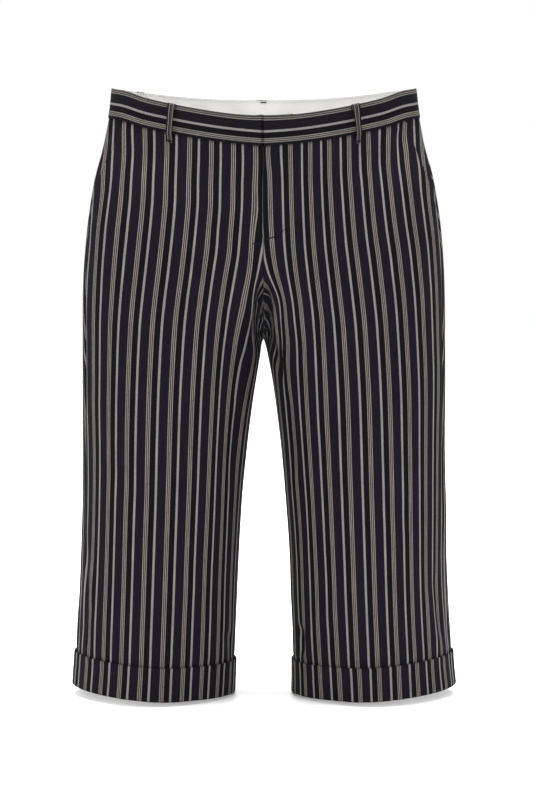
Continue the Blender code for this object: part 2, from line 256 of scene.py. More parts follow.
def centreAngle(drop, front, x):
    # angle of the centre seam above the crotch, and of the inseam below it
    depth = measure(drop, "front" if front else "back")
    above = angleAt(drop, x, front)
    below = (math.pi - 0.03 / depth) * (1 if front else -1)
    return np.where(drop < garment["crotchDrop"], above, below)


def seamAngle(drop, shift=0.0):
    # angle of the side seam, or of a place that lies shift in front of it
    forward = measure(drop, "seam") + shift
    return forward / measureFacing(drop, forward, "front", "back")


def mouthShift(drop):
    # how far the pocket mouth's edge lies in front of the side seam
    part = np.clip((drop - garment["bandHeight"]) / garment["mouthLength"], 0.0, 1.0)
    return garment["mouthStart"] * (1 - part ** garment["mouthBend"])


def runLength(points):
    # distance along each row of points
    steps = np.linalg.norm(np.diff(points, axis=1), axis=-1)
    return np.concatenate((np.zeros((len(points), 1)), np.cumsum(steps, axis=1)), axis=1)


def grainMap(across, along):
    # UVs of a grid from its places across and along the stripes, both in repeats
    return np.stack(np.broadcast_arrays(across, along), axis=-1)


# Where the fourth broad stripe from the centre front runs, the width that one
# stripe repeat takes up outward and inward of it, and how much the stripes
# spread further out, where the cloth was eased round the hip.
grainNames = ("drop", "x", "outward", "inward", "spread")
grainLines = {
    "frontRight": [
        (35, 85.8, 29.4, 26.3, 0.4),
        (60, 86.2, 28.4, 26.4, 1.1),
        (85, 86.8, 27.9, 26.2, 1.3),
        (124, 87.8, 27.7, 26.0, 1.3),
        (202, 95.2, 27.6, 25.9, 1.3),
        (240, 100.1, 27.2, 26.1, 1.0),
        (278, 104.0, 26.8, 26.1, 0.8),
        (361, 109.0, 26.2, 25.5, 0.2),
        (478, 112.8, 25.5, 25.1, -0.3),
        (595, 117.1, 25.2, 25.0, 0.0),
        (660, 119.8, 25.3, 25.1, 0.2),
        (720, 122.8, 25.6, 25.2, 0.2),
    ],
    "frontLeft": [
        (35, 76.5, 24.9, 22.9, 0.75),
        (60, 76.9, 24.5, 22.9, 0.5),
        (85, 77.4, 24.4, 22.9, 0.4),
        (163, 81.8, 25.1, 23.7, 0.4),
        (202, 85.6, 25.7, 24.1, 0.3),
        (240, 89.8, 25.7, 24.4, 0.3),
        (278, 93.8, 25.3, 25.1, 0.2),
        (361, 99.1, 25.0, 25.4, 0.0),
        (478, 103.2, 24.9, 25.1, -0.5),
        (595, 107.8, 24.6, 24.8, -0.7),
        (720, 113.7, 24.6, 24.8, -0.3),
    ],
    "backRight": [
        (35, 84.0, 26.0, 26.0, 0.0),
        (185, 94.0, 26.0, 26.0, 0.0),
        (299, 106.0, 26.0, 26.0, 0.0),
        (430, 112.0, 26.0, 26.0, 0.0),
        (720, 121.0, 25.6, 25.6, 0.0),
    ],
    "backLeft": [
        (35, 88.0, 26.0, 26.0, 0.0),
        (185, 97.0, 26.0, 26.0, 0.0),
        (299, 108.0, 26.0, 26.0, 0.0),
        (430, 114.0, 26.0, 26.0, 0.0),
        (720, 123.0, 25.6, 25.6, 0.0),
    ],
}
grainTables = {name: asTable(grainNames, rows) for name, rows in grainLines.items()}
repeat = 26.0  # one stripe repeat of the cloth


def grainAcross(name, drop, angle, arc):
    # stripe repeats outward from the table's stripe, for a grid whose columns
    # run from the side seam inwards
    table = grainTables[name]
    front = name.startswith("front")
    drops = drop[:, 0]
    start = angleAt(drops, smoothColumn(table, "x", drops), front)
    turn = 1 if front else -1
    middle = np.array([
        np.interp(turn * start[row], turn * angle[row], arc[row])
        for row in range(len(drops))
    ])
    outward = middle[:, None] - arc
    width = smoothColumn(table, "outward", drop)
    spread = smoothColumn(table, "spread", drop)
    outer = outward / width
    for _ in range(6):
        outer = (outward - spread * np.maximum(0.0, outer - 1.5) ** 2) / width
    inner = outward / smoothColumn(table, "inward", drop)
    return np.where(outward > 0, outer, inner)


# A crease is a soft ridge, or a trough where its height is negative, between two
# places on a panel. x is the distance from the centre plane, or along the cloth
# from the side seam where edge is "side".
Crease = namedtuple("Crease", "x0 drop0 x1 drop1 bend width height edge", defaults=["centre"])
creases = {
    "frontLeft": [
        (5, 224, 25, 352, -5, 3.6, -3.8),
        (14, 226, 36, 350, -5, 6.5, 1.8),
        (1, 206, 5, 316, 1, 5.0, -6.0),
        (14, 244, 22, 346, 1, 2.2, -5.0),
        (27, 340, 38, 470, 3, 6.0, -2.0),
        (30, 232, 86, 290, 5, 11.0, -1.3),
        (117, 34, 112, 96, -3, 5.5, -1.6),
        (130, 33, 126, 112, -4, 6.0, 1.5),
        (145, 33, 141, 92, -3, 5.0, -1.4),
        (40, 34, 46, 92, 2, 8.0, -0.7),
        (43, 628, 46, 676, 2, 3.2, -4.4),
        (53, 630, 48, 683, -2, 5.0, 1.6),
        (22, 560, 8, 672, 5, 6.0, -1.8, "side"),
        (35, 585, 20, 678, 5, 8.0, 1.3, "side"),
        (80, 470, 190, 520, 8, 16.0, -1.0),
        (110, 560, 60, 640, 6, 15.0, 0.9),
    ],
    "frontRight": [
        (4, 222, 24, 330, -3, 3.6, -3.6),
        (12, 222, 34, 336, -3, 6.0, 1.6),
        (1, 206, 5, 316, 1, 5.0, -6.0),
        (6, 250, 15, 310, 2, 2.6, -2.0),
        (20, 300, 34, 380, 3, 4.5, -2.2),
        (28, 352, 36, 480, 3, 6.0, -1.8),
        (34, 240, 92, 306, 6, 12.0, -1.2),
        (44, 636, 39, 683, -2, 5.0, -1.6),
        (6, 520, 14, 668, 4, 4.5, -1.8, "side"),
        (18, 548, 26, 678, 5, 6.0, 1.3, "side"),
        (30, 600, 22, 679, -3, 5.0, -1.1, "side"),
        (60, 34, 64, 90, 2, 8.0, -0.6),
        (190, 430, 90, 500, 9, 17.0, -1.0),
        (70, 560, 130, 655, 8, 15.0, 0.9),
    ],
    "backLeft": [
        (6, 270, 74, 318, 9, 6.0, -3.0),
        (8, 288, 58, 352, 7, 5.0, -2.4),
        (12, 252, 96, 290, 8, 9.0, 1.6),
        (22, 340, 42, 440, 5, 8.0, -1.8),
        (150, 300, 92, 372, -8, 12.0, -1.6),
        (62, 470, 160, 452, 10, 9.0, -1.8),
        (70, 492, 150, 486, 8, 8.0, 1.3),
        (90, 560, 54, 668, 6, 12.0, -1.2),
        (160, 40, 150, 104, 4, 7.0, -1.0),
        (18, 600, 8, 676, -4, 5.0, -1.6, "side"),
    ],
    "backRight": [
        (6, 266, 66, 324, 8, 6.0, -2.7),
        (9, 290, 70, 344, 7, 5.5, -2.1),
        (14, 250, 88, 298, 9, 9.0, 1.5),
        (24, 336, 46, 452, 6, 8.0, -1.7),
        (160, 312, 100, 364, -7, 11.0, -1.5),
        (70, 452, 172, 474, -9, 9.0, -1.7),
        (64, 480, 140, 498, 7, 8.0, 1.2),
        (150, 560, 184, 664, -6, 12.0, -1.1),
        (62, 44, 58, 100, 3, 7.0, -0.9),
        (20, 590, 10, 678, -4, 5.0, -1.5, "side"),
    ],
}

# A pull shifts the stripes sideways round a place, outward where shift is positive.
# At the centre seam itself its peak is pointed, so that the two sides meet in a V.
Pull = namedtuple("Pull", "x drop reachX reachDrop shift edge", defaults=["centre"])
pulls = {
    "frontLeft": [
        (164, 44, 7, 24, -3.4),
        (146, 50, 8, 28, 1.7),
        (5, 40, 22, 26, -3.0),
        (0, 254, 17, 41, 14.8),
        (0, 294, 12.5, 27, 31.0),
        (8, 251, 15, 26, 10.8),
        (4, 90, 13, 90, -2.0),
        (165, 178, 42, 24, 1.1),
        (64, 375, 18, 50, -1.0),
        (46, 500, 10, 60, 1.8),
        (60, 640, 22, 45, -1.2),
        (10, 655, 20, 60, 2.0, "side"),
        (14, 380, 20, 50, -1.2, "side"),
        (2, 96, 20, 42, 5.2, "side"),
        (22, 165, 20, 40, 2.4, "side"),
        (159, 38, 11, 9, 2.0),
        (0, 128, 6, 34, -0.6),
    ],
    "frontRight": [
        (0, 244, 9, 30, 25.0),
        (0, 283, 8, 24, 25.8),
        (10.5, 296, 12, 78, -11.8),
        (0.1, 133, 7, 38, -3.4),
        (15, 120, 8, 78, 1.3),
        (44, 178, 26, 22, -1.2),
        (40, 425, 15.5, 135, 5.1),
        (62, 645, 26, 50, -1.0),
        (4, 600, 8, 26, 1.6, "side"),
        (6, 645, 9, 18, -1.6, "side"),
        (24, 330, 22, 100, -1.2, "side"),
        (20, 118, 14, 36, -1.3, "side"),
        (8, 185, 18, 45, -3.6, "side"),
        (14, 42, 20, 22, 1.6, "side"),
    ],
    "backLeft": [],
    "backRight": [],
    "turnUpLeft": [
        (105, 698, 17, 60, 1.9),
        (160, 698, 26, 60, -1.1),
        (60, 698, 16, 60, -1.3),
    ],
    "turnUpRight": [],
}


def creaseHeight(crease, across, drop):
    reachX = crease.x1 - crease.x0
    reachDrop = crease.drop1 - crease.drop0
    length = math.hypot(reachX, reachDrop)
    along = ((across - crease.x0) * reachX + (drop - crease.drop0) * reachDrop) / length**2
    away = ((across - crease.x0) * reachDrop - (drop - crease.drop0) * reachX) / length
    away = away - crease.bend * 4 * along * (1 - along)
    fade = smooth(along / 0.3) * smooth((1 - along) / 0.35)
    return crease.height * fade * bell(away, crease.width)


def pullShift(pull, across, drop):
    power = 1.0 if pull.edge == "centre" and pull.x == 0 else 2.0
    share = np.abs((across - pull.x) / pull.reachX) ** power + ((drop - pull.drop) / pull.reachDrop) ** 2
    return pull.shift * np.exp(-share)


def unevenness(across, drop, seed):
    # slow rise and fall of cloth that was pressed but not stretched
    slow = np.sin(across / 41 + drop / 97 + seed) + np.sin(drop / 63 - across / 58 + 2 * seed)
    fine = np.sin(across / 19 + drop / 44 + 3 * seed) * np.sin(drop / 31 + seed)
    return 0.34 * slow + 0.16 * fine


def meshPiece(name, vertices, faces, corners, attributes, material):
    # faces are quads or end caps as rows of vertex numbers, corners their UVs
    mesh = bpy.data.meshes.new(name)
    mesh.from_pydata((vertices * mm).tolist(), [], faces)
    layer = mesh.uv_layers.new(name="grain")
    layer.data.foreach_set("uv", np.asarray(corners, np.float32).ravel())
    for label, values in attributes.items():
        made = mesh.attributes.new(label, "FLOAT", "POINT")
        made.data.foreach_set("value", np.asarray(values, np.float32).ravel())
    mesh.update()
    if signedVolume(mesh) < 0:
        mesh.flip_normals()
    mesh.shade_smooth()
    mesh.set_sharp_from_angle(angle=math.radians(50))
    mesh.materials.append(material)
    item = bpy.data.objects.new(name, mesh)
    bpy.context.scene.collection.objects.link(item)
    return item


def signedVolume(mesh):
    mesh.calc_loop_triangles()
    corners = np.empty(len(mesh.loop_triangles) * 3, np.int32)
    mesh.loop_triangles.foreach_get("vertices", corners)
    places = np.empty(len(mesh.vertices) * 3, np.float32)
    mesh.vertices.foreach_get("co", places)
    a, b, c = places.reshape(-1, 3)[corners].reshape(-1, 3, 3).transpose(1, 0, 2).astype(float)
    return float((a * np.cross(b, c)).sum())


def quads(numbers, closeRows=False, closeColumns=False):
    # faces between neighbouring rows and columns of a grid of vertex numbers,
    # which is closed where its last row or column meets the first
    if closeRows:
        numbers = np.concatenate((numbers, numbers[:1]), axis=0)
    if closeColumns:
        numbers = np.concatenate((numbers, numbers[:, :1]), axis=1)
    corners = (numbers[:-1, :-1], numbers[1:, :-1], numbers[1:, 1:], numbers[:-1, 1:])
    return np.stack(corners, axis=-1).reshape(-1, 4)


def shellPiece(name, outer, inner, grain, attributes, material):
    # closed shell from its outer and inner faces, both grids of points
    rows, columns = outer.shape[:2]
    front = np.arange(rows * columns).reshape(rows, columns)
    back = front + rows * columns
    faces = np.concatenate((
        quads(front),
        quads(back)[:, ::-1],
        quads(np.stack((back[0], front[0]))),
        quads(np.stack((front[-1], back[-1]))),
        quads(np.stack((front[:, 0], back[:, 0]), axis=1))[:, ::-1],
        quads(np.stack((front[:, -1], back[:, -1]), axis=1)),
    ))
    vertices = np.concatenate((outer.reshape(-1, 3), inner.reshape(-1, 3)))
    uv = np.concatenate((grain.reshape(-1, 2), grain.reshape(-1, 2)))
    twice = {label: np.tile(values.ravel(), 2) for label, values in attributes.items()}
    return meshPiece(name, vertices, faces.tolist(), uv[faces], twice, material)


def sweptPiece(name, sections, grainStart, grainEnd, attributes, material, ring=False):
    # closed piece from sections of points along it, each section a closed outline.
    # grainStart and grainEnd are the UVs at both ends of each stretch.
    count, points = sections.shape[:2]
    numbers = np.arange(count * points).reshape(count, points)
    faces = quads(numbers, ring, True).tolist()
    corners = (grainStart[:, :-1], grainEnd[:, :-1], grainEnd[:, 1:], grainStart[:, 1:])
    corners = np.stack(corners, axis=-2).reshape(-1, 2)
    if not ring:
        faces.append(numbers[0].tolist())
        faces.append(numbers[-1][::-1].tolist())
        corners = np.concatenate((corners, grainStart[0, :-1], grainEnd[-1, :-1][::-1]))
    return meshPiece(name, sections.reshape(-1, 3), faces, corners, attributes, material)


def finishPiece(item, nodes):
    for node in nodes:
        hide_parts(node)
    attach(item, "root")


def sheetSize(outer):
    # width, length and area of a grid of points on a sheet's face
    rowSteps = np.linalg.norm(np.diff(outer, axis=0), axis=-1)
    columnSteps = np.linalg.norm(np.diff(outer, axis=1), axis=-1)
    width = columnSteps.sum(axis=1).max() * mm
    length = rowSteps.sum(axis=0).max() * mm
    across = outer[:-1, 1:] - outer[:-1, :-1]
    down = outer[1:, :-1] - outer[:-1, :-1]
    area = np.linalg.norm(np.cross(across, down), axis=-1).sum() * mm * mm
    return width, length, area


def declareSheet(item, outer):
    width, length, area = sheetSize(outer)
    area = min(area, width * length)
    print(f"{item.name}: cut {width / mm:.0f} x {length / mm:.0f} mm, {area * 1e4:.0f} square cm")


def makeCloth(name, node, faces, grain, marks, material):
    # a hung piece of cloth from its outer and inner faces
    item = shellPiece(name, *faces, grain, marks, material)
    finishPiece(item, [node])
    declareSheet(item, faces[0])


def twoFaces(base, normal, offset, wall):
    return [base + normal * away[..., None] for away in (offset, offset - wall)]


def addNode(tree, kind, inputs=None, **settings):
    made = tree.nodes.new(kind)
    for label, value in settings.items():
        setattr(made, label, value)
    for label, value in (inputs or {}).items():
        feed(tree, value, made.inputs[label])
    return made


def feed(tree, source, target):
    # a link from a socket, or else a plain value
    if isinstance(source, bpy.types.NodeSocket):
        tree.links.new(source, target)
    else:
        target.default_value = source


def calc(tree, operation, first, second=0.0, third=None):
    inputs = {0: first, 1: second}
    if third is not None:
        inputs[2] = third
    return addNode(tree, "ShaderNodeMath", inputs, operation=operation).outputs[0]


def mixColours(tree, share, first, second, blend="MIX"):
    made = addNode(tree, "ShaderNodeMix", data_type="RGBA", blend_type=blend)
    feed(tree, share, made.inputs["Factor"])
    for source, label in ((first, "A"), (second, "B")):
        feed(tree, (*source, 1.0) if isinstance(source, tuple) else source, made.inputs[label])
    return made.outputs["Result"]


def noise(tree, vector, scale, detail=2.0, roughness=0.5):
    inputs = {"Vector": vector, "Scale": scale, "Detail": detail, "Roughness": roughness}
    return addNode(tree, "ShaderNodeTexNoise", inputs).outputs["Fac"]


def stretched(tree, vector, scale):
    return addNode(tree, "ShaderNodeMapping", {"Vector": vector, "Scale": scale}).outputs["Vector"]


def remap(tree, value, low, high):
    inputs = {"Value": value, "To Min": low, "To Max": high}
    return addNode(tree, "ShaderNodeMapRange", inputs).outputs["Result"]


def clothGrain(tree):
    # the cloth's own UV map, and its two parts across and along the stripes
    grain = addNode(tree, "ShaderNodeUVMap", uv_map="grain").outputs["UV"]
    split = addNode(tree, "ShaderNodeSeparateXYZ", {0: grain})
    return grain, split.outputs["X"], split.outputs["Y"]


def markOf(tree, label):
    return addNode(tree, "ShaderNodeAttribute", attribute_name=label).outputs["Fac"]


def dress(tree, shader, colour, roughness, height, look):
    # colour, roughness and relief of a surface, and the values that are the same all over it
    strength, depth = look["relief"]
    relief = {"Strength": strength, "Distance": depth, "Height": height}
    bump = addNode(tree, "ShaderNodeBump", relief).outputs["Normal"]
    for label, source in (("Base Color", colour), ("Roughness", roughness), ("Normal", bump)):
        feed(tree, source, shader.inputs[label])
    for label, value in look["plain"].items():
        shader.inputs[label].default_value = value


def paintedFoldShade(tree, colour, look):
    # darkens the colour towards the fold colour by the mark: dark seam lines, and painted shade in the
    # seams' folds, in creases and in other recesses
    share = calc(tree, "MULTIPLY", markOf(tree, "seam"), look["foldShadeShare"])
    return mixColours(tree, share, colour, look["fold"])


def newMaterial(name):
    made = bpy.data.materials.new(name)
    made.use_nodes = True
    return made, made.node_tree, made.node_tree.nodes["Principled BSDF"]


stripeLook = {
    "navy": (0.0066, 0.0060, 0.0086),
    "navyDeep": (0.0041, 0.0038, 0.0050),
    "beige": (0.174, 0.161, 0.147),
    "beigeShade": (0.024, 0.022, 0.021),
    "grey": (0.166, 0.160, 0.155),
    "wear": (0.030, 0.029, 0.032),
    # painted shade: near-black that stands in for the shade in seams' folds, creases and recesses
    "fold": (0.004, 0.004, 0.005),
    "foldShadeShare": 0.85,
    "edge": 0.34,  # softness of a stripe's edge
    "fray": 0.016,  # how far its yarns stray, in stripe repeats
    "start": -5.0,  # where the list below starts, from a broad stripe's centre
    "stripes": [  # where each colour ends
        (-2.65, "navyDeep"),
        (-1.73, "beige"),
        (-0.47, "beigeShade"),
        (0.40, "beige"),
        (1.66, "beigeShade"),
        (2.58, "beige"),
        (13.55, "navy"),
        (16.25, "grey"),
        (21.00, "navyDeep"),
    ],
    "yarn": 0.56,  # spacing of the twill's lines
    "slant": 0.75,
    "weft": 0.10,  # how much of the dark weft shows between the lines
    "warpShades": (0.35, 1.65),  # each warp yarn is dyed and spun a little differently
    "slubShades": (0.75, 1.25),
    "cloudShades": (0.90, 1.10),
    "rough": (0.74, 0.94),
    "relief": (0.45, 0.00018),  # strength and depth
    "plain": {"Specular IOR Level": 0.03, "Sheen Weight": 0.008, "Sheen Roughness": 0.45},
}


def stripeRamp(tree, phase, look):
    ramp = addNode(tree, "ShaderNodeValToRGB", {"Fac": phase})
    stops = ramp.color_ramp.elements
    place = look["start"]
    soft = look["edge"] / 2
    first = True
    for end, label in look["stripes"]:
        for at in (place + soft, end - soft):
            position = (at - look["start"]) / repeat
            stop = stops[0] if first else stops.new(position)
            stop.position = position
            stop.color = (*look[label], 1.0)
            first = False
        place = end
    stops.remove(stops[-1])
    return ramp.outputs["Color"]


def stripedCotton(name, look):
    made, tree, shader = newMaterial(name)
    grain, across, along = clothGrain(tree)
    strayed = noise(tree, stretched(tree, grain, (30.0, 9.0, 1.0)), 1.0)
    ragged = calc(tree, "MULTIPLY_ADD", strayed, look["fray"], across)
    phase = calc(tree, "ADD", ragged, -look["start"] / repeat - look["fray"] / 2)
    stripes = stripeRamp(tree, calc(tree, "FRACT", phase), look)

    # twill: the weft shows between the warp's raised diagonals
    turns = 2 * math.pi * repeat / look["yarn"]
    diagonal = calc(tree, "MULTIPLY_ADD", along, look["slant"], across)
    twill = calc(tree, "SINE", calc(tree, "MULTIPLY", diagonal, turns))
    warp = calc(tree, "SINE", calc(tree, "MULTIPLY", across, turns * 1.35))
    weave = calc(tree, "MULTIPLY_ADD", warp, 0.35, twill)
    woven = mixColours(tree, remap(tree, weave, look["weft"], 0.0), stripes, look["navyDeep"])

    yarns = noise(tree, stretched(tree, grain, (46.0, 0.7, 1.0)), 1.0, 3.0)
    slubs = noise(tree, stretched(tree, grain, (40.0, 6.0, 1.0)), 1.0, 2.0)
    clouds = noise(tree, grain, 0.55, 3.0)
    yarnShade = remap(tree, yarns, *look["warpShades"])
    shade = calc(tree, "MULTIPLY", yarnShade, remap(tree, slubs, *look["slubShades"]))
    tone = calc(tree, "MULTIPLY", shade, remap(tree, clouds, *look["cloudShades"]))
    toneColour = addNode(tree, "ShaderNodeCombineColor", {"Red": tone, "Green": tone, "Blue": tone})
    coloured = mixColours(tree, 1.0, woven, toneColour.outputs[0], "MULTIPLY")

    # folded edges are rubbed, and painted shade darkens seams' folds and creases
    rub = calc(tree, "MULTIPLY", markOf(tree, "edge"), remap(tree, slubs, 0.05, 0.42))
    worn = mixColours(tree, rub, paintedFoldShade(tree, coloured, look), look["wear"])
    rough = remap(tree, calc(tree, "ADD", slubs, calc(tree, "MULTIPLY", weave, 0.15)), *look["rough"])
    height = calc(tree, "MULTIPLY_ADD", weave, 0.22, calc(tree, "MULTIPLY", slubs, 1.3))
    dress(tree, shader, worn, rough, height, look)
    return made


facingLook = {
    "cotton": (0.97, 0.965, 0.935),
    "shade": (0.93, 0.925, 0.895),
    # painted shade: grey that stands in for the shade along the facing's top edge
    "fold": (0.30, 0.29, 0.28),
    "foldShadeShare": 0.5,
    "yarn": 0.7,
    "rough": (0.72, 0.92),
    "relief": (0.4, 0.00018),
    "plain": {"Specular IOR Level": 0.2, "Sheen Weight": 0.05},
}


def whiteCotton(name, look):
    made, tree, shader = newMaterial(name)
    grain, across, along = clothGrain(tree)
    turns = 2 * math.pi * repeat / look["yarn"]
    waves = [calc(tree, "SINE", calc(tree, "MULTIPLY", way, turns)) for way in (across, along)]
    slubs = noise(tree, stretched(tree, grain, (6.0, 40.0, 1.0)), 1.0, 3.0)
    clouds = noise(tree, grain, 0.8, 3.0)
    mottled = mixColours(tree, remap(tree, clouds, 0.0, 0.5), look["cotton"], look["shade"])
    threads = mixColours(tree, remap(tree, slubs, 0.0, 0.35), mottled, look["shade"])
    height = calc(tree, "MULTIPLY_ADD", calc(tree, "MULTIPLY", *waves), 0.5, slubs)
    # painted shade along the facing's top edge
    colour = paintedFoldShade(tree, threads, look)
    dress(tree, shader, colour, remap(tree, slubs, *look["rough"]), height, look)
    return made


threadLook = {
    "colour": (0.0035, 0.0035, 0.0050),
    "light": (0.0100, 0.0095, 0.0130),
    "twist": 2600.0,
    "rough": (0.6, 0.85),
    "relief": (0.4, 0.0001),
    "plain": {"Specular IOR Level": 0.1},
}


def sewingThread(name, look):
    made, tree, shader = newMaterial(name)
    place = addNode(tree, "ShaderNodeTexCoord").outputs["Object"]
    fibres = noise(tree, place, look["twist"])
    colour = mixColours(tree, fibres, look["colour"], look["light"])
    dress(tree, shader, colour, remap(tree, fibres, *look["rough"]), fibres, look)
    return made


tapeLook = {
    "dark": (0.012, 0.012, 0.018),
    "light": (0.022, 0.022, 0.030),
    "fluff": (0.017, 0.017, 0.024),
    "yarn": 0.8,
    "herringbone": 0.12,  # width of its bands, in stripe repeats
    "rough": (0.65, 0.85),
    "relief": (0.4, 0.0002),
    "plain": {"Specular IOR Level": 0.25},
}


def zipTapeCloth(name, look):
    made, tree, shader = newMaterial(name)
    grain, across, along = clothGrain(tree)
    slanted = calc(tree, "ADD", calc(tree, "PINGPONG", across, look["herringbone"]), along)
    twill = calc(tree, "SINE", calc(tree, "MULTIPLY", slanted, 2 * math.pi * repeat / look["yarn"]))
    fluff = noise(tree, stretched(tree, grain, (30.0, 12.0, 1.0)), 1.0)
    woven = mixColours(tree, remap(tree, twill, 0.3, 0.7), look["dark"], look["light"])
    colour = mixColours(tree, fluff, woven, look["fluff"])
    dress(tree, shader, colour, remap(tree, fluff, *look["rough"]), twill, look)
    return made


nickelLook = {
    "bright": (0.60, 0.59, 0.57),
    "stained": (0.42, 0.41, 0.39),
    "rough": (0.22, 0.42),
    "relief": (0.15, 0.00005),
    "plain": {"Metallic": 1.0},
}


def brushedNickel(name, look):
    made, tree, shader = newMaterial(name)
    place = addNode(tree, "ShaderNodeTexCoord").outputs["Object"]
    brushed = noise(tree, stretched(tree, place, (500.0, 500.0, 4200.0)), 1.0, 3.0)
    stains = noise(tree, place, 420.0, 3.0)
    colour = mixColours(tree, remap(tree, stains, 0.0, 0.8), look["bright"], look["stained"])
    dress(tree, shader, colour, remap(tree, brushed, *look["rough"]), brushed, look)
    return made


loopLook = stripeLook | {
    # painted shade: the loops' beige lines are darker than the panels'
    "beige": (0.120, 0.112, 0.104),
    "beigeShade": (0.060, 0.056, 0.052),
    "stripes": [  # the broad stripe's lines, pulled apart by the strip's folded edges
        (-2.95, "navyDeep"),
        (-1.75, "beige"),
        (-0.55, "navyDeep"),
        (0.45, "beigeShade"),
        (1.75, "navyDeep"),
        (2.95, "beige"),
        (21.00, "navyDeep"),
    ],
}
whiteLook = threadLook | {"colour": (0.66, 0.65, 0.62), "light": (0.80, 0.79, 0.76)}
cotton = stripedCotton("stripedCotton", stripeLook)
loopCotton = stripedCotton("stripedLoopCotton", loopLook)
facingCotton = whiteCotton("whiteFacingCotton", facingLook)
navyThread = sewingThread("navyThread", threadLook)
whiteThread = sewingThread("whiteThread", whiteLook)
tapeCloth = zipTapeCloth("navyZipTape", tapeLook)
nickel = brushedNickel("brushedNickel", nickelLook)
print("materials made")


panelShape = {
    "wall": 0.7,
    "rows": 228,
    "crotchRows": 24,
    "crotchReach": 16.0,  # how far above the crotch the rows lie closer
    "columns": 116,
    "crowding": 0.55,  # more columns near the seams
    "centreGap": 0.05,  # half of what parts two panels at the centre, and at the side
    "sideGap": 0.03,
    "uneven": (40, 60, 690, 40),  # a zone, as crotchShape has them
    "seamDip": 0.8,  # dips and lifts of the surface, each with how far it reaches
    "seamReach": 2.4,
    "topDip": 0.25,  # where the band is sewn on
    "topReach": 2.5,
    "mouthLift": 0.5,
    "mouthReach": 9.0,
    "mouthFade": 14.0,
    "flyLift": 0.4,
    "flyReach": 4.5,
    "flyFade": 12.0,
    "flySink": 1.0,
    "flyLap": 1.2,  # left front past the centre
    "flyUnder": 2.0,  # right front past the centre
    "stitchDip": 0.35,  # along the fly's stitching
    "stitchReach": 1.4,
    "cuffPinch": 0.5,  # where the turn-up holds the leg
    "cuffReach": 5.0,
    "underCuff": -0.15,
}
# painted shade in seams' folds, creases, under the band, above the turn-up and along the fly's
# stitching: how dark it is and how far it reaches
panelShade = {
    "all": 0.75,
    "seam": 1.1,
    "crease": (0.75, 1.3, 3.2),  # share, from what depth on, within what depth
    "top": 0.9,
    "cuff": (0.8, 1.3),
    "stitch": (0.8, 0.55),
    "rubbed": (0.35, 1.2),  # the pocket mouth's edge, rubbed rather than dark
}
# Above the crotch the stripes run up into a V and break up, and deep shade is painted over them there.
# Each zone is a start, how soon it comes in, an end and how soon it goes out.
crotchShape = {
    "zone": (232, 20, 326, 34),
    "rise": 7.0,
    "riseWidth": 3.4,
    "crumple": 1.5,
    "crumpleWidth": 7.0,
    "shadeZone": (206, 36, 360, 50),
    "shade": 0.95,
    "shadeBreaks": 0.33,
    "shadeWidth": 10.0,
}
flyStitch = {"width": 28.5, "turn": 25.0, "bottom": 157.5}


def panelDrops():
    top = garment["bandHeight"] + 0.05
    bottom = garment["hemDrop"] - 2.0
    closer = np.linspace(0.0, 1.0, panelShape["crotchRows"]) ** 2
    closer = garment["crotchDrop"] - panelShape["crotchReach"] * closer
    return np.unique(np.concatenate((np.linspace(top, bottom, panelShape["rows"]), closer)))


def clothGrid(drops, outer, inner, shape, side):
    # grid of places between two edges of a piece, with more columns near them
    share = np.linspace(0.0, 1.0, shape["columns"])
    share = share - shape["crowding"] * np.sin(2 * math.pi * share) / (2 * math.pi)
    angle = outer[:, None] * (1 - share) + inner[:, None] * share
    drop = np.broadcast_to(drops[:, None], angle.shape)
    return drop, angle, bodyPoint(drop, angle, side), bodyNormal(drop, angle, side)


def summed(kind, rows, effect, patch):
    # all the rows' effects together, each measured from its own edge
    total = np.zeros_like(patch.drop)
    for row in rows:
        item = kind(*row)
        total += effect(item, patch.fromSide if item.edge == "side" else patch.x, patch.drop)
    return total


def flyStitchDistance(x, drop):
    # distance from the stitching that runs down beside the fly and turns in to the centre
    turn = flyStitch["turn"]
    width = flyStitch["width"]
    level = flyStitch["bottom"] - turn
    straight = np.abs(x - width)
    bend = np.abs(np.hypot(x * turn / width, drop - level) - turn)
    return np.where(drop < level, straight, bend) + np.maximum(0.0, -x)


def panelPatch(side, front):
    # grid of places on a panel, with what its relief, stripes and shades depend on
    shape = panelShape
    drops = panelDrops()
    flyZone = smooth((garment["flyDrop"] - drops) / shape["flyFade"])
    past = gap = shape["centreGap"]
    if front:
        lap = shape["flyLap"] if side > 0 else shape["flyUnder"]
        past = gap - (lap + gap) * flyZone
    outer = seamAngle(drops, mouthShift(drops) + shape["sideGap"] if front else -shape["sideGap"])
    inner = centreAngle(drops, front, past)
    drop, angle, base, normal = clothGrid(drops, outer, inner, shape, side)
    fromSide = runLength(base)
    x = side * base[..., 0]
    mouthEnd = garment["bandHeight"] + garment["mouthLength"]
    return SimpleNamespace(
        side=side, front=front, lapped=side > 0 and front,
        drops=drops, drop=drop, angle=angle, base=base, normal=normal,
        x=x, fromSide=fromSide, fromInner=fromSide[:, -1:] - fromSide,
        mouthZone=smooth((mouthEnd - drop) / shape["mouthFade"]) if front else 0.0,
        flyZone=flyZone, fly=flyZone[:, None] * (1 if front else 0),
        belowCuff=drop - (garment["hemDrop"] - garment["cuffHeight"]),
        crumple=np.sin(drop / 1.8 - x / 1.5 + side) + np.sin(drop / 3.7 - x / 2.3),
    )


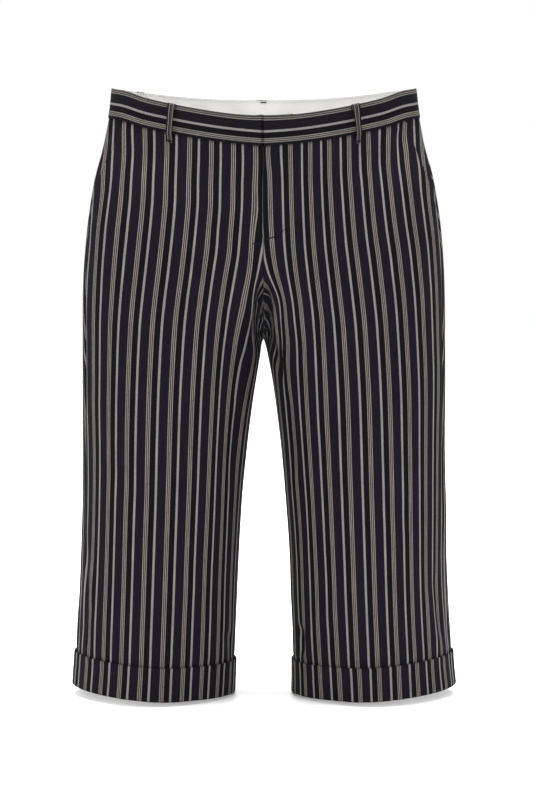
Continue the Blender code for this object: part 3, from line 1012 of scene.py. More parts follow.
def panelRelief(patch, folds):
    # seams lie in a shallow groove, a pocket mouth and a fly are folded edges
    shape = panelShape
    x = patch.x
    drop = patch.drop
    seed = 1.7 if patch.side > 0 else 4.1 + (0 if patch.front else 2.0)
    offset = unevenness(x, drop, seed) * between(drop, *shape["uneven"]) + folds
    sideGroove = bell(patch.fromSide, shape["seamReach"])
    innerGroove = bell(patch.fromInner, shape["seamReach"])
    offset = offset * (1 - 0.8 * np.maximum(sideGroove, innerGroove))
    offset -= shape["seamDip"] * (sideGroove * (1 - patch.mouthZone) + innerGroove * (1 - patch.fly))
    offset -= shape["topDip"] * bell(drop - patch.drops[0], shape["topReach"])
    offset += shape["mouthLift"] * patch.mouthZone * bell(patch.fromSide, shape["mouthReach"])
    if patch.lapped:
        offset += patch.fly * shape["flyLift"] * bell(x + shape["flyLap"], shape["flyReach"])
        offset -= shape["stitchDip"] * bell(flyStitchDistance(x, drop), shape["stitchReach"])
    else:
        offset -= patch.fly * shape["flySink"] * smooth((4.0 - x) / 3.5)
    offset -= shape["cuffPinch"] * bell(patch.belowCuff + 1, shape["cuffReach"])
    underCuff = smooth((patch.belowCuff - 2) / 6)
    return offset * (1 - underCuff) + shape["underCuff"] * underCuff


def panelGrain(name, patch):
    shift = summed(Pull, pulls[name], pullShift, patch)
    if patch.front:
        shape = crotchShape
        zone = between(patch.drop, *shape["zone"])
        broken = shape["crumple"] * patch.crumple * zone * bell(patch.x, shape["crumpleWidth"])
        shift += broken + shape["rise"] * zone * np.exp(-np.abs(patch.x) / shape["riseWidth"])
    stripe = grainAcross(name, patch.drop, patch.angle, patch.fromSide) - shift / repeat
    return grainMap(stripe, -patch.base[..., 2] / repeat)


def panelMarks(patch, folds):
    # dark seam lines, and painted shade in the seams' folds, in the creases, above the crotch, under the
    # band, above the turn-up and in the fly stitching's groove; rubbed along folded edges
    fromTop = patch.drop - patch.drops[0]
    creaseDark, shallow, depth = panelShade["crease"]
    cuffDark, cuffReach = panelShade["cuff"]
    shades = [
        bell(patch.fromSide, panelShade["seam"]) * (1 - patch.mouthZone),
        bell(patch.fromInner, panelShade["seam"]) * (1 - 0.3 * patch.fly),
        creaseDark * smooth((-folds - shallow) / depth),
        bell(fromTop, panelShade["top"]),
        cuffDark * bell(patch.belowCuff, cuffReach),
    ]
    # painted shade above the crotch, broken up along the crumples
    if patch.front:
        shade = crotchShape["shade"] + crotchShape["shadeBreaks"] * patch.crumple
        deep = between(patch.drop, *crotchShape["shadeZone"])
        shades.append(shade * deep * bell(patch.x, crotchShape["shadeWidth"]))
    # painted shade in the groove along the fly's stitching
    if patch.lapped:
        stitchDark, reach = panelShade["stitch"]
        shades.append(stitchDark * bell(flyStitchDistance(patch.x, patch.drop), reach))
    rubbed, reach = panelShade["rubbed"]
    mouthEdge = rubbed * bell(patch.fromSide, reach) * patch.mouthZone
    return {
        "seam": np.maximum.reduce(shades) * panelShade["all"],
        "edge": np.maximum(mouthEdge, bell(patch.fromInner, reach) * patch.fly),
    }


def joinAtCentre(face, patch):
    # above the crotch the two sides meet on the centre plane
    joined = (patch.drops < garment["crotchDrop"]) & ((patch.flyZone < 0.02) | (not patch.front))
    away = patch.side * face[joined, :, 0] - 0.02
    keep = 1 - np.exp(-patch.fromInner[joined] / 1.5)
    face[joined, :, 0] = patch.side * np.maximum(0.02, 0.02 + away * keep)


def makePanel(name, node, side, front):
    patch = panelPatch(side, front)
    folds = summed(Crease, creases[name], creaseHeight, patch)
    faces = twoFaces(patch.base, patch.normal, panelRelief(patch, folds), panelShape["wall"])
    for face in faces:
        joinAtCentre(face, patch)
    marks = panelMarks(patch, folds)
    makeCloth(name, node, faces, panelGrain(name, patch), marks, cotton)
    patch.points = faces[0]
    return patch


def onPanel(panel, drop, distance, way):
    # place and normal on a panel's outer face, distance measured one way
    place = float(np.interp(drop, panel.drops, np.arange(len(panel.drops))))
    row = min(int(place), len(panel.drops) - 2)
    found = []
    for number in (row, row + 1):
        away = getattr(panel, way)[number]
        order = np.argsort(away)
        key = away[order]
        both = np.concatenate((panel.points[number], panel.normal[number]), axis=-1)[order]
        found.append([np.interp(distance, key, both[:, axis]) for axis in range(6)])
    mixed = np.array(found[0]) * (1 - place + row) + np.array(found[1]) * (place - row)
    return mixed[:3], mixed[3:]


panels = {}
for label, side in (("Left", 1), ("Right", -1)):
    lower = label.lower()
    panels["front" + label] = makePanel("front" + label, "front_" + lower, side, True)
    panels["back" + label] = makePanel("back" + label, "back_" + lower, side, False)
print("fronts and backs made")


facingShape = {
    "lap": 24.0,  # runs on under the front
    "rows": 70,
    "columns": 34,
    "crowding": 0.3,
    "sink": 1.5,
    "sideDip": 0.7,
    "wall": 0.7,
    "stripeAt": 0.573,  # the narrow stripe's place in a repeat
    # its distance from the side seam at the top, how fast that grows downwards,
    # and the stripes' repeat
    "stripe": {"Left": (21.9, 0.22, 39.0), "Right": (20.5, 0.24, 37.0)},
}


def makePocketFacing(name, node, side, label):
    shape = facingShape
    top = garment["bandHeight"]
    drops = np.linspace(top + 0.05, top + garment["mouthLength"], shape["rows"])
    outer = seamAngle(drops, 0.03)
    inner = seamAngle(drops, mouthShift(drops) + shape["lap"])
    drop, angle, base, normal = clothGrid(drops, outer, inner, shape, side)
    arc = runLength(base)
    reach = mouthShift(drop)
    hidden = smooth((arc - reach * 0.35 + 3) / 9)
    offset = -0.10 - shape["sink"] * hidden - shape["sideDip"] * bell(arc, 2.4) * (1 - hidden)

    start, growth, width = shape["stripe"][label]
    stripe = shape["stripeAt"] + (start + growth * (drop - top) - arc) / width
    grain = grainMap(stripe, -base[..., 2] / repeat)
    # dark at the side seam, and painted shade where the pocket mouth's edge lies over the facing
    seam = np.maximum(bell(arc, panelShade["seam"]) * panelShade["all"], 0.8 * bell(arc - reach, 1.6))
    marks = {"seam": seam, "edge": np.zeros_like(drop)}
    faces = twoFaces(base, normal, offset, shape["wall"])
    makeCloth(name, node, faces, grain, marks, cotton)


makePocketFacing("pocketFacingLeft", "pocket_facing_left", 1, "Left")
makePocketFacing("pocketFacingRight", "pocket_facing_right", -1, "Right")
print("pocket facings made")


bandShape = {
    "proud": 0.6,
    "wall": 2.4,
    "round": 1.0,  # radius of the fold along the top
    "low": 0.35,  # bevel of the lower edge
    "quarter": 76,  # stations in a quarter of the waist
    "firstStripe": 3.5,  # broad stripe's centre below the top edge
    "end": 0.9,  # left end past the centre front
    "underlap": 36.0,
    "sink": 4.2,
    "frontEnd": 14.0,  # where the right half starts to run closer stations
    "closeStep": 0.8,
    "faceRows": 9,
    "seamSwell": 0.35,  # over the seam allowances
    "liftLeft": (0.0, 5.0, 0.25),  # where the lap lifts the top edge, how wide, how far
    "liftRight": (3.5, 3.5, 0.7),
}


def bandProfile(shape, height):
    # outline across the band as offset and drop: up the outer face, over, down
    proud = shape["proud"]
    wall = shape["wall"]
    radius = shape["round"]
    low = shape["low"]
    face = np.linspace(height - low, radius, shape["faceRows"])
    turn = np.linspace(0.0, math.pi / 2, 5)[1:-1]
    points = [(proud, value) for value in face]
    points += [(proud - radius * (1 - math.cos(a)), radius - radius * math.sin(a)) for a in turn]
    points += [(proud - radius, 0.0), (proud - wall + radius * 0.6, 0.0)]
    points += [(proud - wall, radius * 0.6)]
    points += [(proud - wall, value) for value in face[::-1][1:]]
    points += [(proud - wall + low, height), (proud - low, height)]
    return np.array(points)


def bandStations(shape, side):
    # angle of each station for a given drop, and how far the underlap lies in
    quarter = np.linspace(0.0, 1.0, shape["quarter"])
    frontX = shape["end"] if side > 0 else shape["frontEnd"]
    lapX = np.array([])
    if side < 0:
        lapX = np.arange(frontX, -shape["underlap"] - 0.1, -shape["closeStep"])[1:]

    def anglesAt(drop):
        back = angleAt(drop, 0.05, False) * (1 - quarter)
        front = angleAt(drop, frontX, True) * quarter[1:]
        lap = angleAt(drop, lapX, True) if len(lapX) else lapX
        return np.concatenate((back, front, lap))

    sunk = -shape["sink"] * smooth((3.8 - lapX) / 3.0)
    return anglesAt, np.concatenate((np.zeros(2 * shape["quarter"] - 1), sunk))


def makeBand(name, node, side):
    shape = bandShape
    profile = bandProfile(shape, garment["bandHeight"])
    anglesAt, extra = bandStations(shape, side)
    liftAt, liftWidth, liftBy = shape["liftLeft" if side > 0 else "liftRight"]
    columns = []
    for offset, drop in profile:
        angle = anglesAt(drop)
        points = bodyPoint(drop, angle, side)
        normal = bodyNormal(max(drop, 1.0), angle, side)
        across = side * points[:, 0]
        wave = 0.22 * np.sin(across / 13 + drop / 20) + 0.18 * np.sin(across / 29 + 1.3)
        swell = shape["seamSwell"] * math.exp(-((drop - 30) / 6) ** 2)
        out = offset + extra + (wave + swell) * (1 if offset > 0 else 0)
        points = points + normal * out[:, None]
        points[:, 2] += liftBy * bell(across - liftAt, liftWidth) * math.exp(-(drop / 9) ** 2)
        columns.append(points)
    sections = np.stack(columns, axis=1)

    travel = np.linalg.norm(np.diff(profile, axis=0, append=profile[:1]), axis=1)
    walked = np.concatenate(([0.0], np.cumsum(travel)))
    topAt = walked[shape["faceRows"] + 3]
    stripe = (topAt - walked - shape["firstStripe"] + 0.4) / repeat
    along = runLength(sections[None, :, 0])[0] / repeat
    grain = grainMap(stripe, along[:, None])

    # painted shade along the band's lower seam and its top edge, dark at the centre back seam; the top
    # edge is rubbed
    low = bell(profile[:, 1] - garment["bandHeight"], 1.0)
    high = bell(profile[:, 1], 0.8)
    fold = bell(profile[:, 1] - 0.2, 0.8) * (profile[:, 0] > -0.5)
    ends = np.zeros(len(sections))
    ends[:2] = 1.0, 0.4
    marks = {
        "seam": np.maximum(np.maximum(low * 0.7, fold)[None], ends[:, None] * 0.8),
        "edge": np.repeat(high[None] * 0.25, len(sections), axis=0),
    }
    item = sweptPiece(name, sections, grain[:-1], grain[1:], marks, cotton)
    finishPiece(item, [node])
    declareSheet(item, sections[:, : shape["faceRows"]].transpose(1, 0, 2))


makeBand("waistbandLeft", "waistband_left", 1)
makeBand("waistbandRight", "waistband_right", -1)
print("waistband made")


bandFacing = {"gap": 0.35, "wall": 0.9, "margin": 0.25, "rows": 9, "columns": 150}


def makeBandFacing(name, node):
    shape = bandFacing
    sink = bandShape["proud"] - bandShape["wall"] - shape["gap"]
    drops = np.linspace(shape["margin"], garment["bandHeight"], shape["rows"])
    quarter = np.linspace(0.0, 1.0, shape["columns"])
    faces = []
    for depth in (0.0, shape["wall"]):
        rows = []
        for drop in drops:
            row = []
            for side, share in ((1, quarter), (-1, quarter[::-1][1:])):
                angle = angleAt(drop, 0.0, False) * share
                ripple = 0.25 * np.sin(angle * 23 + drop / 9) * smooth((drop - 4) / 10)
                row.append(offBody(drop, angle, side, sink + ripple - depth))
            rows.append(np.concatenate(row))
        faces.append(np.stack(rows))
    along = runLength(faces[0]) / repeat
    down = np.repeat(drops[:, None], along.shape[1], axis=1)
    grain = grainMap(along, down / repeat)
    # painted shade along the facing's top edge, under the band's fold
    marks = {"seam": 0.6 * bell(down - drops[0], 0.5), "edge": np.zeros_like(down)}
    makeCloth(name, node, faces, grain, marks, facingCotton)


makeBandFacing("waistbandFacingBack", "waistband_facing_back")
print("white facing made")


cuffShape = {
    "inside": 0.35,
    "outside": 2.0,
    "columns": 130,
    "faceRows": 15,  # outline points on the outer face
    "stripeShift": {"Left": -0.06, "Right": 0.015},
    "lip": 0.5,  # how far the top edge stands off
    "roll": 0.5,
    "halfRound": 270.0,  # about half of the way round
    "seamWidth": 1.2,
}


def cuffProfile(top, hem):
    # outline as offset and drop, from inside the top edge over it and round the fold
    inside = cuffShape["inside"]
    outside = cuffShape["outside"]
    edge = [(inside, top + 0.7), (inside + 0.35, top + 0.15)]
    edge += [(outside - 0.55, top), (outside - 0.1, top + 0.5)]
    face = [(outside, value) for value in np.linspace(top + 1.6, hem - 3.0, 12)]
    fold = [(outside - 0.15, hem - 1.2), (outside - 0.7, hem - 0.35), (0.4, hem), (-0.6, hem - 0.05)]
    turned = [(-1.05, hem - 0.6), (-1.1, hem - 1.6), (-0.6, hem - 1.65), (inside, hem - 1.9)]
    back = [(inside, value) for value in np.linspace(hem - 8.0, top + 8.0, 5)]
    return np.array(edge + face + fold + turned + back)


def cuffRound(name, drop, side, label):
    # angles right round the leg at one drop, and the stripes' places at the start
    # and at the end of the stretch after each
    share = np.linspace(0.0, 1.0, cuffShape["columns"])
    seamAt = seamAngle(np.array([drop]))
    angles = []
    stripes = []
    for part, turn in (("front", 1), ("back", -1)):
        angle = seamAt[:, None] * (1 - share) + turn * math.pi * share
        level = np.full_like(angle, drop)
        points = bodyPoint(level, angle, side)
        stripe = grainAcross(part + label, level, angle, runLength(points))
        if part == "front":
            for row in pulls[name]:
                stripe -= pullShift(Pull(*row), side * points[..., 0], level) / repeat
        angles.append(angle[0])
        stripes.append(stripe[0] + turn * cuffShape["stripeShift"][label])
    around = np.concatenate((angles[0], angles[1][::-1][1:-1]))
    front = stripes[0]
    back = stripes[1][::-1]
    starts = np.concatenate((front[:-1], back[:-1]))
    return around, starts, np.concatenate((front[1:], back[1:]))


def cuffOffset(offset, drop, around, side, top):
    # its top edge stands off unevenly and its lower part rolls a little
    turn = np.where(around < 0, around + 2 * math.pi, around)
    wave = 0.45 + 0.30 * np.sin(3 * turn + 1.1 * side) + 0.25 * np.sin(7 * turn + 2.0)
    flare = cuffShape["lip"] * wave * smooth((top + 12 - drop) / 12) * (1 if offset > 0.3 else 0)
    roll = cuffShape["roll"] * np.sin(2 * turn + side) * smooth((drop - top - 20) / 20)
    return offset + flare + roll * (offset > 0)


def makeTurnUp(name, node, side, label):
    shape = cuffShape
    hem = garment["hemDrop"]
    top = hem - garment["cuffHeight"]
    profile = cuffProfile(top, hem)
    share = np.linspace(0.0, 1.0, shape["columns"])
    fromSeams = [part * shape["halfRound"] for part in (share, 1 - share)]
    halfMark = np.maximum(*[bell(distance, shape["seamWidth"]) for distance in fromSeams])
    ringMark = np.concatenate((halfMark, halfMark[::-1][1:-1])) * 0.6
    rings = []
    starts = []
    ends = []
    marks = {"seam": [], "edge": []}
    for offset, drop in profile:
        around, start, end = cuffRound(name, drop, side, label)
        rings.append(offBody(drop, around, side, cuffOffset(offset, drop, around, side, top)))
        starts.append(start)
        ends.append(end)
        # dark at the turn-up's seams, and painted shade along its top edge where it stands off the leg
        marks["seam"].append(np.maximum(ringMark, 0.55 * math.exp(-((drop - top) / 0.9) ** 2)))
        marks["edge"].append(np.full_like(around, 0.8 * math.exp(-((drop - hem) / 1.2) ** 2)))
    sections = np.stack(rings, axis=1)
    # the UV of each stretch, with the first outline point repeated at the end
    travel = np.linalg.norm(np.diff(profile, axis=0), axis=1)
    walked = np.concatenate(([0.0], np.cumsum(travel), [travel.cumsum()[-1] + 3.0]))
    grains = [grainMap(np.array(way + way[:1]).T, walked / repeat) for way in (starts, ends)]
    marks = {key: np.array(values).T for key, values in marks.items()}
    item = sweptPiece(name, sections, *grains, marks, cotton, ring=True)
    finishPiece(item, [node])
    face = np.concatenate((sections, sections[:1]))[:, 3 : 3 + shape["faceRows"]].transpose(1, 0, 2)
    declareSheet(item, face)


makeTurnUp("turnUpLeft", "turn_up_left", 1, "Left")
makeTurnUp("turnUpRight", "turn_up_right", -1, "Right")
print("turn-ups made")


Loop = namedtuple("Loop", "name node x lean front width taper pinch stripe rise")
loops = [
    Loop("beltLoopFrontLeft", "belt_loop_front_left", 106.0, 5.2, True, 9.6, 0.84, 0.10, 0.02, 1.3),
    Loop("beltLoopFrontRight", "belt_loop_front_right", -105.6, 4.7, True, 9.0, 1.0, 0.12, 0.03, 1.1),
    Loop("beltLoopBackLeft", "belt_loop_back_left", 146.0, 2.0, False, 9.4, 0.95, 0.05, 0.01, -0.2),
    Loop("beltLoopBackRight", "belt_loop_back_right", -146.0, 2.0, False, 9.4, 0.93, 0.0, -0.02, 0.8),
    Loop("beltLoopBackCentre", "belt_loop_back_centre", 0.0, 0.0, False, 9.6, 0.96, 0.0, 0.02, 0.1),
]
loopShape = {
    "wall": 1.3,
    "stand": 5.2,
    "tail": 46.0,
    "stations": 56,
    "taperEnd": 0.6,  # share of the length by which it has narrowed
    "pinchAt": 0.55,
    "pinchReach": 0.2,
    "outward": (20, 20.0),  # a station on the outer face, and a drop beside it
    "tackStation": -3,
    "tackReach": 0.42,  # share of the width
    "turnedIn": 1.75,  # the strip is folded flat, so half of its way round counts
    # outline as shares of the width and of the wall, thicker at the folded edges
    "across": (-0.5, -0.46, -0.36, -0.2, 0.0, 0.2, 0.36, 0.46, 0.5),
    "outer": (-0.5, -0.12, 0.0, -0.1, -0.2, -0.1, 0.0, -0.12, -0.5),
    "inner": (-0.88, -1.0, -1.0, -1.0, -1.0, -1.0, -0.88),
}


def loopPath(rise):
    # outer face from the end tucked under the top, out and down to the panel
    proud = bandShape["proud"]
    wall = loopShape["wall"]
    outside = proud + loopShape["stand"] + wall
    seat = proud + 0.3 + wall
    return np.array([
        (proud - 0.1, 6.0),
        (proud - 0.1, 2.4 - rise),
        (proud + 0.5, 0.6 - rise),
        (proud + 1.9, -rise),
        (outside - 1.6, 0.5 - rise),
        (outside - 0.4, 2.6 - rise),
        (outside, 8.0),
        (outside - 0.3, 18.0),
        (outside - 0.6, 30.0),
        (outside - 1.4, 36.5),
        (seat + 0.7, 40.5),
        (seat - proud + 0.2, loopShape["tail"]),
    ])


def smoothPath(points, count):
    # Catmull-Rom curve through the points, evenly spaced
    ends = np.concatenate((2 * points[:1] - points[1:2], points, 2 * points[-1:] - points[-2:-1]))
    fine = []
    for index in range(1, len(ends) - 2):
        a, b, c, d = ends[index - 1 : index + 3]
        for part in np.linspace(0.0, 1.0, 12, endpoint=False):
            curve = 2 * b + (c - a) * part + (2 * a - 5 * b + 4 * c - d) * part**2
            fine.append((curve + (3 * b - a - 3 * c + d) * part**3) / 2)
    fine = np.array(fine + [points[-1]])
    walked = runLength(fine[None])[0]
    even = np.linspace(0.0, walked[-1], count)
    return np.stack([np.interp(even, walked, fine[:, axis]) for axis in range(points.shape[1])], axis=1)


def loopLine(loop, side):
    # middle of the outer face, the way across it and its width, station by station
    shape = loopShape
    centres = []
    across = []
    widths = []
    for offset, drop in smoothPath(loopPath(loop.rise), shape["stations"]):
        level = max(drop, 0.0)
        middle = abs(loop.x) + loop.lean * level / shape["tail"]
        down = level / shape["tail"]
        width = loop.width * (1 - (1 - loop.taper) * smooth(down / shape["taperEnd"]))
        width *= 1 - loop.pinch * math.exp(-((down - shape["pinchAt"]) / shape["pinchReach"]) ** 2)
        edges = []
        for edge in (-width / 2, width / 2):
            angle = angleBeside(level, middle, edge, loop.front)
            edges.append(offBody(level, angle, side, offset) + np.array((0.0, 0.0, level - drop)))
        centres.append((edges[0] + edges[1]) / 2)
        across.append(unit(edges[1] - edges[0]))
        widths.append(width)
    return np.array(centres), np.array(across), np.array(widths)


def makeLoop(loop):
    # gives the bar tack across the loop's lower end
    shape = loopShape
    side = -1 if loop.x < 0 else 1
    centres, across, widths = loopLine(loop, side)
    out = unit(np.cross(across, unit(np.gradient(centres, axis=0))))
    station, drop = shape["outward"]
    if out[station] @ bodyNormal(drop, angleAt(drop, abs(loop.x), loop.front), side) < 0:
        out = -out

    outline = np.array(shape["across"] + shape["across"][-2:0:-1])
    height = np.array(shape["outer"] + shape["inner"]) * shape["wall"]
    sections = (
        centres[:, None]
        + across[:, None] * (outline[None] * widths[:, None])[..., None]
        + out[:, None] * height[None, :, None]
    )
    flat = np.concatenate((outline, outline[:1])) * loop.width / repeat + loop.stripe
    travel = runLength(centres[None])[0] / repeat
    grain = grainMap(flat, travel[:, None])
    rubbed = np.where(np.abs(outline) > 0.4, 0.8, 0.15)
    marks = {
        "seam": np.zeros(sections.shape[:2]),
        "edge": np.repeat(rubbed[None], len(sections), axis=0),
    }
    item = sweptPiece(loop.name, sections, grain[:-1], grain[1:], marks, loopCotton)
    finishPiece(item, [loop.node])
    half = across * loop.width / shape["turnedIn"]
    face = np.stack((centres - half, centres + half), axis=1)
    declareSheet(item, face)

    at = shape["tackStation"]
    reach = across[at] * widths[at] * shape["tackReach"]
    lift = out[at] * 0.15
    return [(centres[at] - reach + lift, out[at]), (centres[at] + reach + lift, out[at])]


loopTacks = [makeLoop(loop) for loop in loops]
print("belt loops made")


flyShape = {
    "gap": 0.6,
    "frontWall": 1.2,
    "shieldLeft": 34.0,
    "shieldRight": 6.0,
    "shieldDrop": 152.0,
    "shieldWall": 0.8,
    "swell": 2.4,  # where the shield goes round the slider
    "zipCentre": 8.0,
    "zipWidth": 24.0,
    "zipDrop": 146.0,
    "tapeRoom": 1.0,
    "tapeWall": 0.6,
    "teeth": 40,
}


def flyGrid(drops, places, offsetAt):
    drop, x = np.broadcast_arrays(drops[:, None], places)
    points = np.empty((*drop.shape, 3))
    for side in (1, -1):
        chosen = x >= 0 if side > 0 else x < 0
        angle = angleAt(drop[chosen], np.abs(x[chosen]), True)
        points[chosen] = offBody(drop[chosen], angle, side, offsetAt(x[chosen]))
    return points


def makeFlyCloth(name, node, bottom, places, offsetAt, wall, material, shift):
    drops = np.linspace(flyTop, bottom, 60)
    faces = [flyGrid(drops, places, lambda x: offsetAt(x) - depth) for depth in (0.0, wall)]
    grain = grainMap(places / repeat + shift, drops[:, None] / repeat)
    blank = np.zeros(grain.shape[:2])
    makeCloth(name, node, faces, grain, {"seam": blank, "edge": blank}, material)


def shieldOffset(x):
    away = np.abs(x - flyShape["zipCentre"]) - 5.0
    layers = flyShape["frontWall"] + 2 * flyShape["gap"] + flyShape["tapeRoom"]
    return -layers - flyShape["swell"] * (1 - smooth(away / 8.0))


tapeOffset = -(flyShape["frontWall"] + flyShape["gap"])
flyTop = garment["bandHeight"] + 0.3
halfTape = flyShape["zipWidth"] / 2
makeFlyCloth(
    "flyShield", "fly_shield", flyShape["shieldDrop"],
    np.linspace(-flyShape["shieldRight"], flyShape["shieldLeft"], 33),
    shieldOffset, flyShape["shieldWall"], cotton, 0.37,
)
makeFlyCloth(
    "flyZipTape", "fly_zip", flyShape["zipDrop"],
    np.linspace(flyShape["zipCentre"] - halfTape, flyShape["zipCentre"] + halfTape, 17),
    lambda x: np.full_like(x, tapeOffset), flyShape["tapeWall"], tapeCloth, 0.0,
)
for nodeName in ("zip_slider", "waist_hook", "waist_bar"):
    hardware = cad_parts[nodeName]
    hardware.data.materials.clear()
    hardware.data.materials.append(nickel)
print("fly made")


# metres, and the swing of each in radians
seamStitch = {
    "Pitch": 0.0027,
    "Length": 0.0023,
    "Width": 0.00042,
    "Height": 0.00032,
    "Wobble": 0.05,
    "Seed": 3,
}
tackStitch = {
    "Pitch": 0.00045,
    "Length": 0.00042,
    "Width": 0.0022,
    "Height": 0.0005,
    "Wobble": 0.12,
    "Seed": 11,
}
toothSize = {
    "Pitch": 0.0021,
    "Length": 0.0011,
    "Width": 0.0042,
    "Height": 0.0009,
    "Wobble": 0.0,
    "Seed": 1,
}


def repeatTree(name, shapeKind, shapeInputs):
    # instances along a path, turned to its tangent and standing on its normal
    tree = bpy.data.node_groups.new(name, "GeometryNodeTree")
    kinds = {"Path": "Geometry", "Seed": "Int", "Material": "Material"}
    for label in ("Path", "Pitch", "Length", "Width", "Height", "Wobble", "Seed", "Material"):
        kind = "NodeSocket" + kinds.get(label, "Float")
        socket = tree.interface.new_socket(label, in_out="INPUT", socket_type=kind)
        if label in seamStitch:
            socket.default_value = seamStitch[label]
    tree.interface.new_socket("Made", in_out="OUTPUT", socket_type="NodeSocketGeometry")
    given = addNode(tree, "NodeGroupInput").outputs

    def step(kind, inputs=None, output=0, **settings):
        return addNode(tree, kind, inputs, **settings).outputs[output]

    path = step("GeometryNodeMeshToCurve", {"Mesh": given["Path"]})
    path = step("GeometryNodeResampleCurve", {"Curve": path, "Length": given["Pitch"]}, mode="LENGTH")
    size = {"X": given["Length"], "Y": given["Width"], "Z": given["Height"]}
    size = step("ShaderNodeCombineXYZ", size)
    shape = step(shapeKind, shapeInputs)
    shape = step("GeometryNodeTransform", {"Geometry": shape, "Scale": size})

    tangent = step("GeometryNodeInputTangent")
    turn = step("FunctionNodeAlignRotationToVector", {"Vector": tangent}, axis="X")
    stand = step("GeometryNodeInputNamedAttribute", {"Name": "stand"}, data_type="FLOAT_VECTOR")
    turn = step(
        "FunctionNodeAlignRotationToVector", {"Rotation": turn, "Vector": stand},
        axis="Z", pivot_axis="X",
    )
    # inputs 2 and 3 and output 1 are the node's ends and value for plain numbers
    lowest = calc(tree, "MULTIPLY", given["Wobble"], -1.0)
    ends = {2: lowest, 3: given["Wobble"], "Seed": given["Seed"]}
    swing = step("FunctionNodeRandomValue", ends, 1, data_type="FLOAT")
    swing = step("ShaderNodeCombineXYZ", {"Z": swing})
    turn = step(
        "FunctionNodeRotateRotation", {"Rotation": turn, "Rotate By": swing},
        rotation_space="LOCAL",
    )

    made = step("GeometryNodeInstanceOnPoints", {"Points": path, "Instance": shape, "Rotation": turn})
    made = step("GeometryNodeRealizeInstances", {"Geometry": made})
    made = step("GeometryNodeSetMaterial", {"Geometry": made, "Material": given["Material"]})
    addNode(tree, "NodeGroupOutput", {"Made": made})
    return tree


def repeatAlong(name, tree, paths, sizes, material):
    # each path is a list of (place, normal) pairs
    places = []
    normals = []
    edges = []
    for path in paths:
        first = len(places)
        places += [place * mm for place, normal in path]
        normals += [normal for place, normal in path]
        edges += [(first + index, first + index + 1) for index in range(len(path) - 1)]
    mesh = bpy.data.meshes.new(name)
    mesh.from_pydata(places, edges, [])
    stand = mesh.attributes.new("stand", "FLOAT_VECTOR", "POINT")
    stand.data.foreach_set("vector", np.asarray(normals, np.float32).ravel())
    item = bpy.data.objects.new(name, mesh)
    modifier = item.modifiers.new("repeat", "NODES")
    modifier.node_group = tree
    values = sizes | {"Material": material}
    for socket in tree.interface.items_tree:
        if socket.in_out == "INPUT" and socket.name in values:
            modifier[socket.identifier] = values[socket.name]
    bpy.context.scene.collection.objects.link(item)
    bpy.context.view_layer.update()
    evaluated = item.evaluated_get(bpy.context.evaluated_depsgraph_get())
    plain = bpy.data.meshes.new_from_object(evaluated)
    item.modifiers.remove(modifier)
    item.data = plain
    item.data.name = name
    plain.shade_smooth()
    print(f"{name}: {len(plain.polygons)} faces")
    finishPiece(item, [])


sphere = {"Segments": 6, "Rings": 4, "Radius": 0.5}
stitchTree = repeatTree("stitching", "GeometryNodeMeshUVSphere", sphere)
toothTree = repeatTree("zipTeeth", "GeometryNodeMeshCube", {"Size": (1.0, 1.0, 1.0)})


def panelPath(panel, spots, way, lift=0.12):
    path = []
    for drop, distance in spots:
        place, normal = onPanel(panel, drop, distance, way)
        path.append((place + unit(normal) * lift, normal))
    return path


def insidePoint(drop, angle, side, offset):
    # place and normal of a stitch or tooth on an inner face
    return offBody(drop, angle, side, offset), -bodyNormal(drop, angle, side)


def flyCurve():
    # straight down beside the fly and round to the centre seam
    width = flyStitch["width"]
    turn = flyStitch["turn"]
    level = flyStitch["bottom"] - turn
    straight = [(drop, width) for drop in np.linspace(garment["bandHeight"] + 1.5, level, 16)]
    bend = []
    for part in np.linspace(0.0, 1.0, 14)[1:]:
        angle = part * math.pi / 2
        bend.append((level + turn * math.sin(angle), max(0.6, width * math.cos(angle))))
    return straight + bend


stitchPaths = [panelPath(panels["frontLeft"], flyCurve(), "x")]
tackPaths = [
    panelPath(panels["frontRight"], [(163.0, 4.0), (165.0, 8.5), (164.2, 12.5)], "x", 0.25),
    panelPath(panels["frontLeft"], [(158.4, 0.6), (157.0, 6.0), (155.0, 12.0)], "x", 0.2),
]
mouthEnd = garment["bandHeight"] + garment["mouthLength"]
mouth = [(drop, 1.6) for drop in np.linspace(garment["bandHeight"] + 2, mouthEnd - 8, 30)]
for label in ("Left", "Right"):
    front = panels["front" + label]
    stitchPaths.append(panelPath(front, mouth, "fromSide"))
    tackPaths.append(panelPath(front, [(mouthEnd - 6, 0.4), (mouthEnd - 6, 4.5)], "fromSide", 0.2))
tackPaths += loopTacks
# the loops' upper ends are tacked through the white facing
facingInside = bandShape["proud"] - bandShape["wall"] - bandFacing["gap"] - bandFacing["wall"]
for loop in loops[3:]:
    side = -1 if loop.x < 0 else 1
    level = 1.9 if loop.x == 0 else 1.1
    angles = [angleBeside(level, abs(loop.x), shift, False) for shift in (-3.6, 0.0, 3.6)]
    tack = [insidePoint(level, angle, side, facingInside - 0.25) for angle in angles]
    (tackPaths if loop.x == 0 else stitchPaths).append(tack)
repeatAlong("navyStitches", stitchTree, stitchPaths, seamStitch, navyThread)
repeatAlong("navyBarTacks", stitchTree, tackPaths, tackStitch, navyThread)

# the white facing is edge-stitched along its lower side
facingPath = []
for share in np.linspace(-1.0, 1.0, 90):
    angle = angleAt(30.0, 0.0, False) * (1 - abs(share))
    facingPath.append(insidePoint(30.0, angle, 1 if share < 0 else -1, facingInside - 0.4))
repeatAlong("whiteStitches", stitchTree, [facingPath], seamStitch, whiteThread)

toothPath = []
for drop in np.linspace(flyTop + 4.0, flyShape["zipDrop"] - 3.0, flyShape["teeth"]):
    angle = angleAt(drop, flyShape["zipCentre"], True)
    toothPath.append(insidePoint(drop, angle, 1, tapeOffset - flyShape["tapeWall"] - 0.5))
repeatAlong("zipTeeth", toothTree, [toothPath], toothSize, nickel)
print("stitches and zip teeth made")


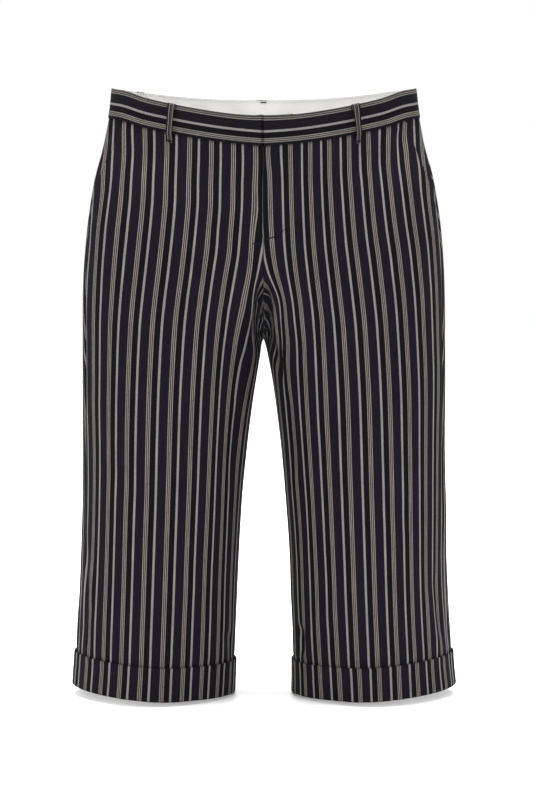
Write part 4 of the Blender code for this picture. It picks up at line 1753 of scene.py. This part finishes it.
stageLook = {
    "floorDrop": 1.5,  # floor below the hems' lowest point
    "floorSize": 8.0,
    "floor": (0.88, 0.88, 0.88),
    "background": 1.0,
    # each softbox's place, what it points at, its width and height, and its watts
    "overhead": ((0.0, 0.1, 1.9), (0.0, 0.0, -0.4), (1.8, 1.2), 150.0),
    "frontFill": ((-0.7, -3.0, 0.9), (0.0, 0.0, -0.35), (1.6, 1.6), 24.0),
    "between": ((0.0, 1.75, 1.75), (0.0, 0.0, -0.73), (0.7, 0.7), 52.0),
}


def makeFloor():
    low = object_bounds()[0].z - stageLook["floorDrop"] * mm
    half = stageLook["floorSize"] / 2
    mesh = bpy.data.meshes.new("floor")
    corners = [(-half, -half, low), (half, -half, low), (half, half, low), (-half, half, low)]
    mesh.from_pydata(corners, [], [(0, 1, 2, 3)])
    made, tree, shader = newMaterial("paleFloor")
    feed(tree, (*stageLook["floor"], 1.0), shader.inputs["Base Color"])
    feed(tree, 0.9, shader.inputs["Roughness"])
    feed(tree, 0.0, shader.inputs["Specular IOR Level"])
    mesh.materials.append(made)
    item = bpy.data.objects.new("floor", mesh)
    bpy.context.scene.collection.objects.link(item)


def makeWorld():
    world = bpy.data.worlds.new("studio")
    bpy.context.scene.world = world
    world.use_nodes = True
    background = world.node_tree.nodes["Background"]
    background.inputs["Color"].default_value = (1.0, 1.0, 1.0, 1.0)
    background.inputs["Strength"].default_value = stageLook["background"]


def addSoftbox(name):
    place, target, size, watts = stageLook[name]
    light = bpy.data.lights.new(name, "AREA")
    light.shape = "RECTANGLE"
    light.size, light.size_y = size
    light.energy = watts
    item = bpy.data.objects.new(name, light)
    item.location = place
    aim = Vector(target) - Vector(place)
    item.rotation_euler = aim.to_track_quat("-Z", "Y").to_euler()
    item.visible_camera = False
    bpy.context.scene.collection.objects.link(item)


cameraLook = {
    "place": (0.0036, -4.0, 0.16),
    "down": 7.58,  # degrees below level
    "lens": 151.26,
    "sensor": 36.0,
}


def makeCamera():
    camera = bpy.data.cameras.new("camera")
    camera.sensor_fit = "VERTICAL"
    camera.sensor_height = cameraLook["sensor"]
    camera.lens = cameraLook["lens"]
    camera.clip_end = 100.0
    item = bpy.data.objects.new("camera", camera)
    item.location = cameraLook["place"]
    item.rotation_euler = (math.radians(90.0 - cameraLook["down"]), 0.0, 0.0)
    bpy.context.scene.collection.objects.link(item)
    bpy.context.scene.camera = item


makeFloor()
makeWorld()
for softbox in ("overhead", "frontFill", "between"):
    addSoftbox(softbox)
makeCamera()
bpy.context.scene.view_settings.view_transform = "Standard"
print("floor, lights and camera made")
